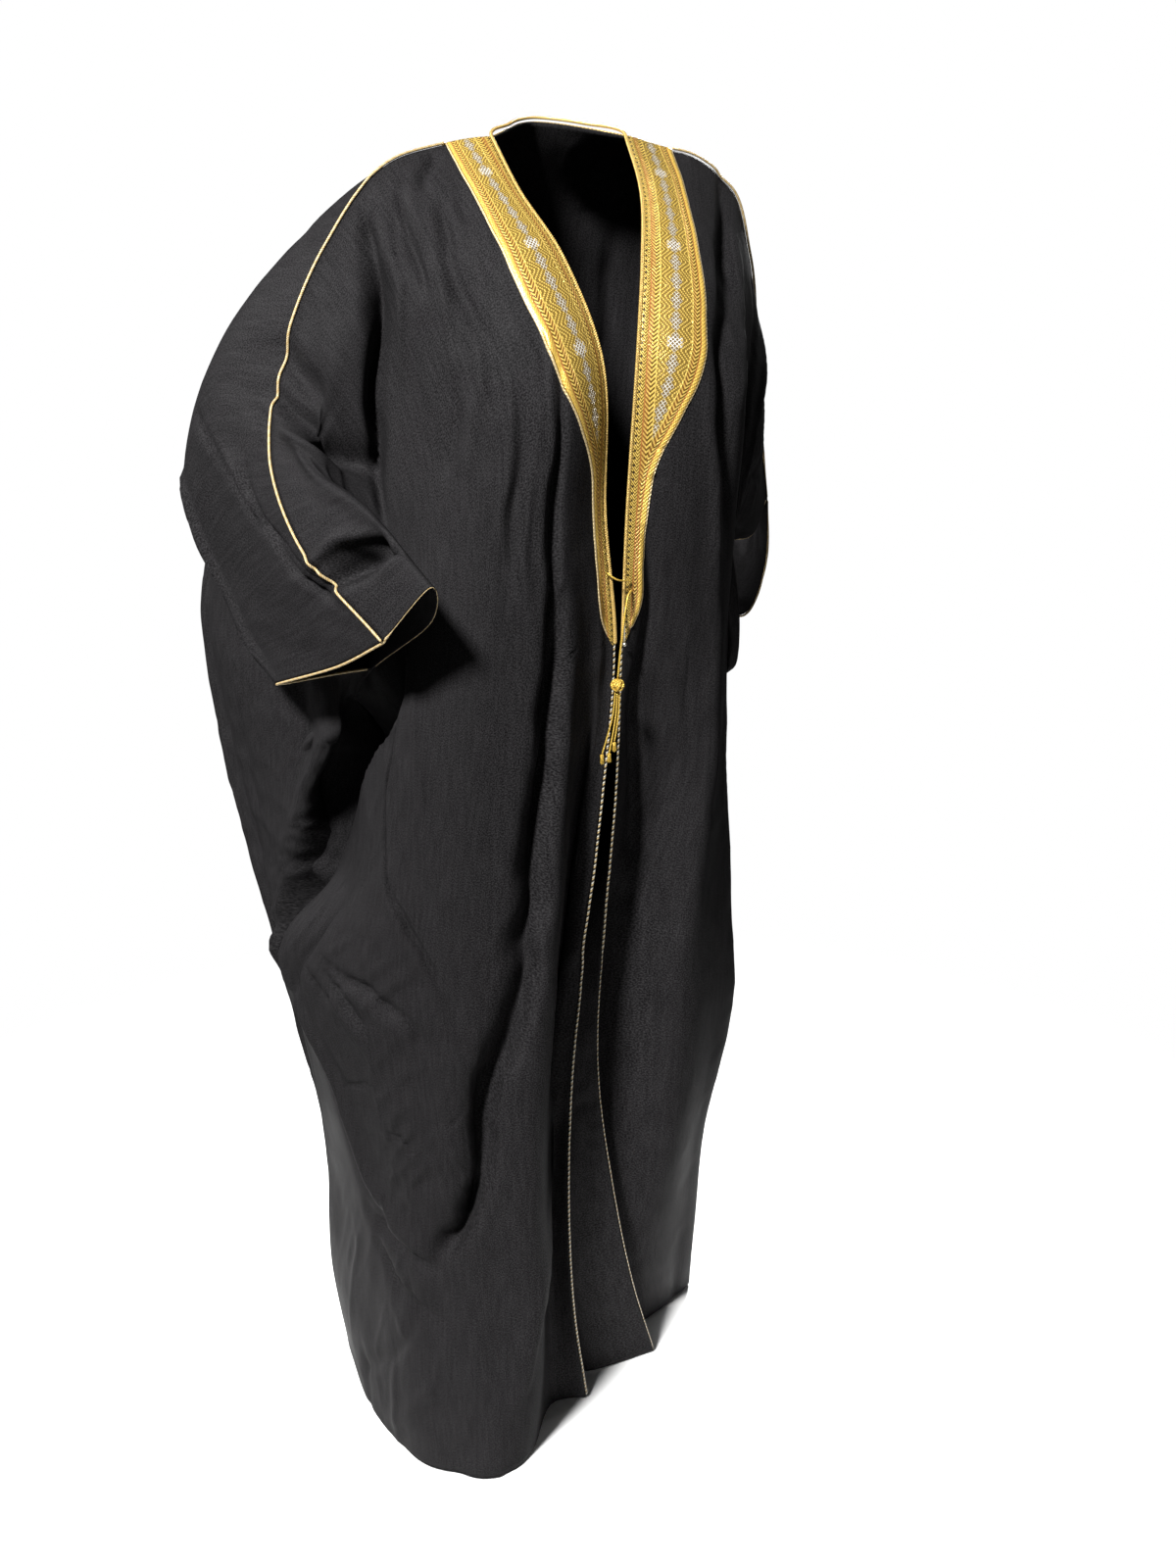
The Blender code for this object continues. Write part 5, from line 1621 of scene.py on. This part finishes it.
class BISHT_OT_closure_cords(bpy.types.Operator):
    """Makes the loop, cord, tails and thread of the fastening"""

    bl_idname = "bisht.closure_cords"
    bl_label = "Closure Cords"

    def execute(self, context):
        trim = context.scene.bisht_trim
        gold = twisted("gold_closure_cord", CLOSURE_GOLD, trim.dark_gold_and_shade, 2, 0.4, 0.32)
        silver = twisted("silver_thread", trim.silver, BLACK_THREAD_AND_GROOVE_SHADE, 2, 0.6, 0.35)
        for name, (radius, stops) in CORDS.items():
            route = smooth_line(stops, CORD_POINTS)
            is_thread = name == "closure_thread"
            twist = {**CORD_TWIST, "pitch": radius * CORD_PITCH, "step": radius * CORD_STEP}
            material = silver if is_thread else gold
            piece = rope(name.replace("closure", "fastening"), [route], radius, material, **twist)
            finish_piece(piece, "silver_thread" if is_thread else "gold_braid", name)
        return {"FINISHED"}


class BISHT_OT_closure_knot(bpy.types.Operator):
    """Makes the wound knot, the tassel ends and the bead of the fastening"""

    bl_idname = "bisht.closure_knot"
    bl_label = "Closure Knot"

    def execute(self, context):
        trim = context.scene.bisht_trim
        gold = twisted("gold_knot_cord", CLOSURE_GOLD, trim.dark_gold_and_shade, 2, 0.4, 0.32)
        thread = plain_thread("gold_tassel", CLOSURE_GOLD, 0.4, 0.36)
        silver = plain_thread("silver_bead", trim.silver, 0.85, 0.28)
        ball = bpy.ops.mesh.primitive_uv_sphere_add
        sizes = {"segments": 24, "ring_count": 14, "radius": KNOT_CORE * MM}
        core = primitive("knot_core", ball, KNOT_CENTRE, thread, **sizes)
        turn = np.linspace(0, 2 * math.pi * KNOT_LEADS, KNOT_POINTS)
        rise = np.sin(turn * KNOT_BIGHTS / KNOT_LEADS)
        out = KNOT_WIND + KNOT_WEAVE * np.cos(turn * 2 * KNOT_BIGHTS / KNOT_LEADS)
        flat = np.cos(rise * KNOT_REACH) * out
        height = np.sin(rise * KNOT_REACH) * out * KNOT_TALL
        wind = np.stack([flat * np.cos(turn), flat * np.sin(turn), height], axis=1) + KNOT_CENTRE
        wound = rope("wound_knot", [wind], KNOT_STRAND, gold, **KNOT_TWIST)
        join(wound, core)
        finish_piece(wound, "gold_braid", "closure_knot")
        for number, tail in enumerate(TAILS, 1):
            self.tassel(number, np.array(CORDS[tail][1][-1]), gold, thread)
        x, y, z = CORDS["closure_thread"][1][-1]
        place = (x, y, z - BEAD_GAP - BEAD_RADIUS)
        sizes = {"segments": 20, "ring_count": 12, "radius": BEAD_RADIUS * MM}
        bead = primitive("thread_bead", ball, place, silver, **sizes)
        finish_piece(bead, "silver_thread", "closure_bead")
        return {"FINISHED"}

    def tassel(self, number, top, gold, thread):
        """A binding of three turns over a small brush of threads."""
        strands = []
        spread = np.random.default_rng(60 + number)
        for ring, (count, radius) in enumerate(TASSEL_RINGS):
            for index in range(count):
                turn = 2 * math.pi * (index + 0.4 * ring) / count
                wide = radius * spread.uniform(0.9, 1.1)
                drop = TASSEL_LENGTH * spread.uniform(0.9, 1.0)
                aim = np.array([math.cos(turn), math.sin(turn), 0])
                stops = [
                    top + aim * radius * 0.5 + [0, 0, -0.8],
                    top + aim * radius * 0.62 + [0, 0, -0.3 * drop],
                    top + aim * wide * 0.95 + [0, 0, -0.65 * drop],
                    top + aim * wide + [0, 0, -drop],
                ]
                strands.append(smooth_line(stops, 8))
        made = rope(f"tassel_end_{number}", strands, THREAD_RADIUS, thread, **BRUSH_TWIST)
        turn = np.linspace(0, 2 * math.pi * BINDING_TURNS, 60)
        x, y = BINDING_RADIUS * np.cos(turn), BINDING_RADIUS * np.sin(turn)
        bind = np.stack([x, y, -1.0 - turn * 0.16], axis=1) + top
        binding = rope(f"tassel_binding_{number}", [bind], BINDING_STRAND, gold, **BINDING_TWIST)
        join(made, binding)
        finish_piece(made, "silver_thread", f"closure_tassel_{number}")


class BISHT_PT_panel(bpy.types.Panel):
    """The cloak's pieces"""

    bl_label = "Bisht Cloak"
    bl_idname = "BISHT_PT_panel"
    bl_space_type = "VIEW_3D"
    bl_region_type = "UI"
    bl_category = "Bisht"

    def draw(self, context):
        for operator in OPERATORS:
            self.layout.operator(operator.bl_idname)
        for group in (context.scene.bisht_cloth, context.scene.bisht_trim, context.scene.bisht_stage):
            for name in type(group).__annotations__:
                self.layout.prop(group, name)


OPERATORS = (
    BISHT_OT_stage,
    BISHT_OT_closure_cords,
    BISHT_OT_closure_knot,
    BISHT_OT_cloth,
    BISHT_OT_band,
    BISHT_OT_plaited_cord,
    BISHT_OT_pipings,
)
SETTINGS = {
    "bisht_cloth": BishtClothSettings,
    "bisht_trim": BishtTrimSettings,
    "bisht_stage": BishtStageSettings,
}
CLASSES = (*SETTINGS.values(), *OPERATORS, BISHT_PT_panel)


def register():
    for made in CLASSES:
        bpy.utils.register_class(made)
    for name, group in SETTINGS.items():
        setattr(bpy.types.Scene, name, PointerProperty(type=group))


def unregister():
    for name in SETTINGS:
        delattr(bpy.types.Scene, name)
    for made in reversed(CLASSES):
        bpy.utils.unregister_class(made)


def main():
    register()
    for operator in OPERATORS:
        group, name = operator.bl_idname.split(".")
        getattr(getattr(bpy.ops, group), name)()


if __name__ == "__main__":
    main()
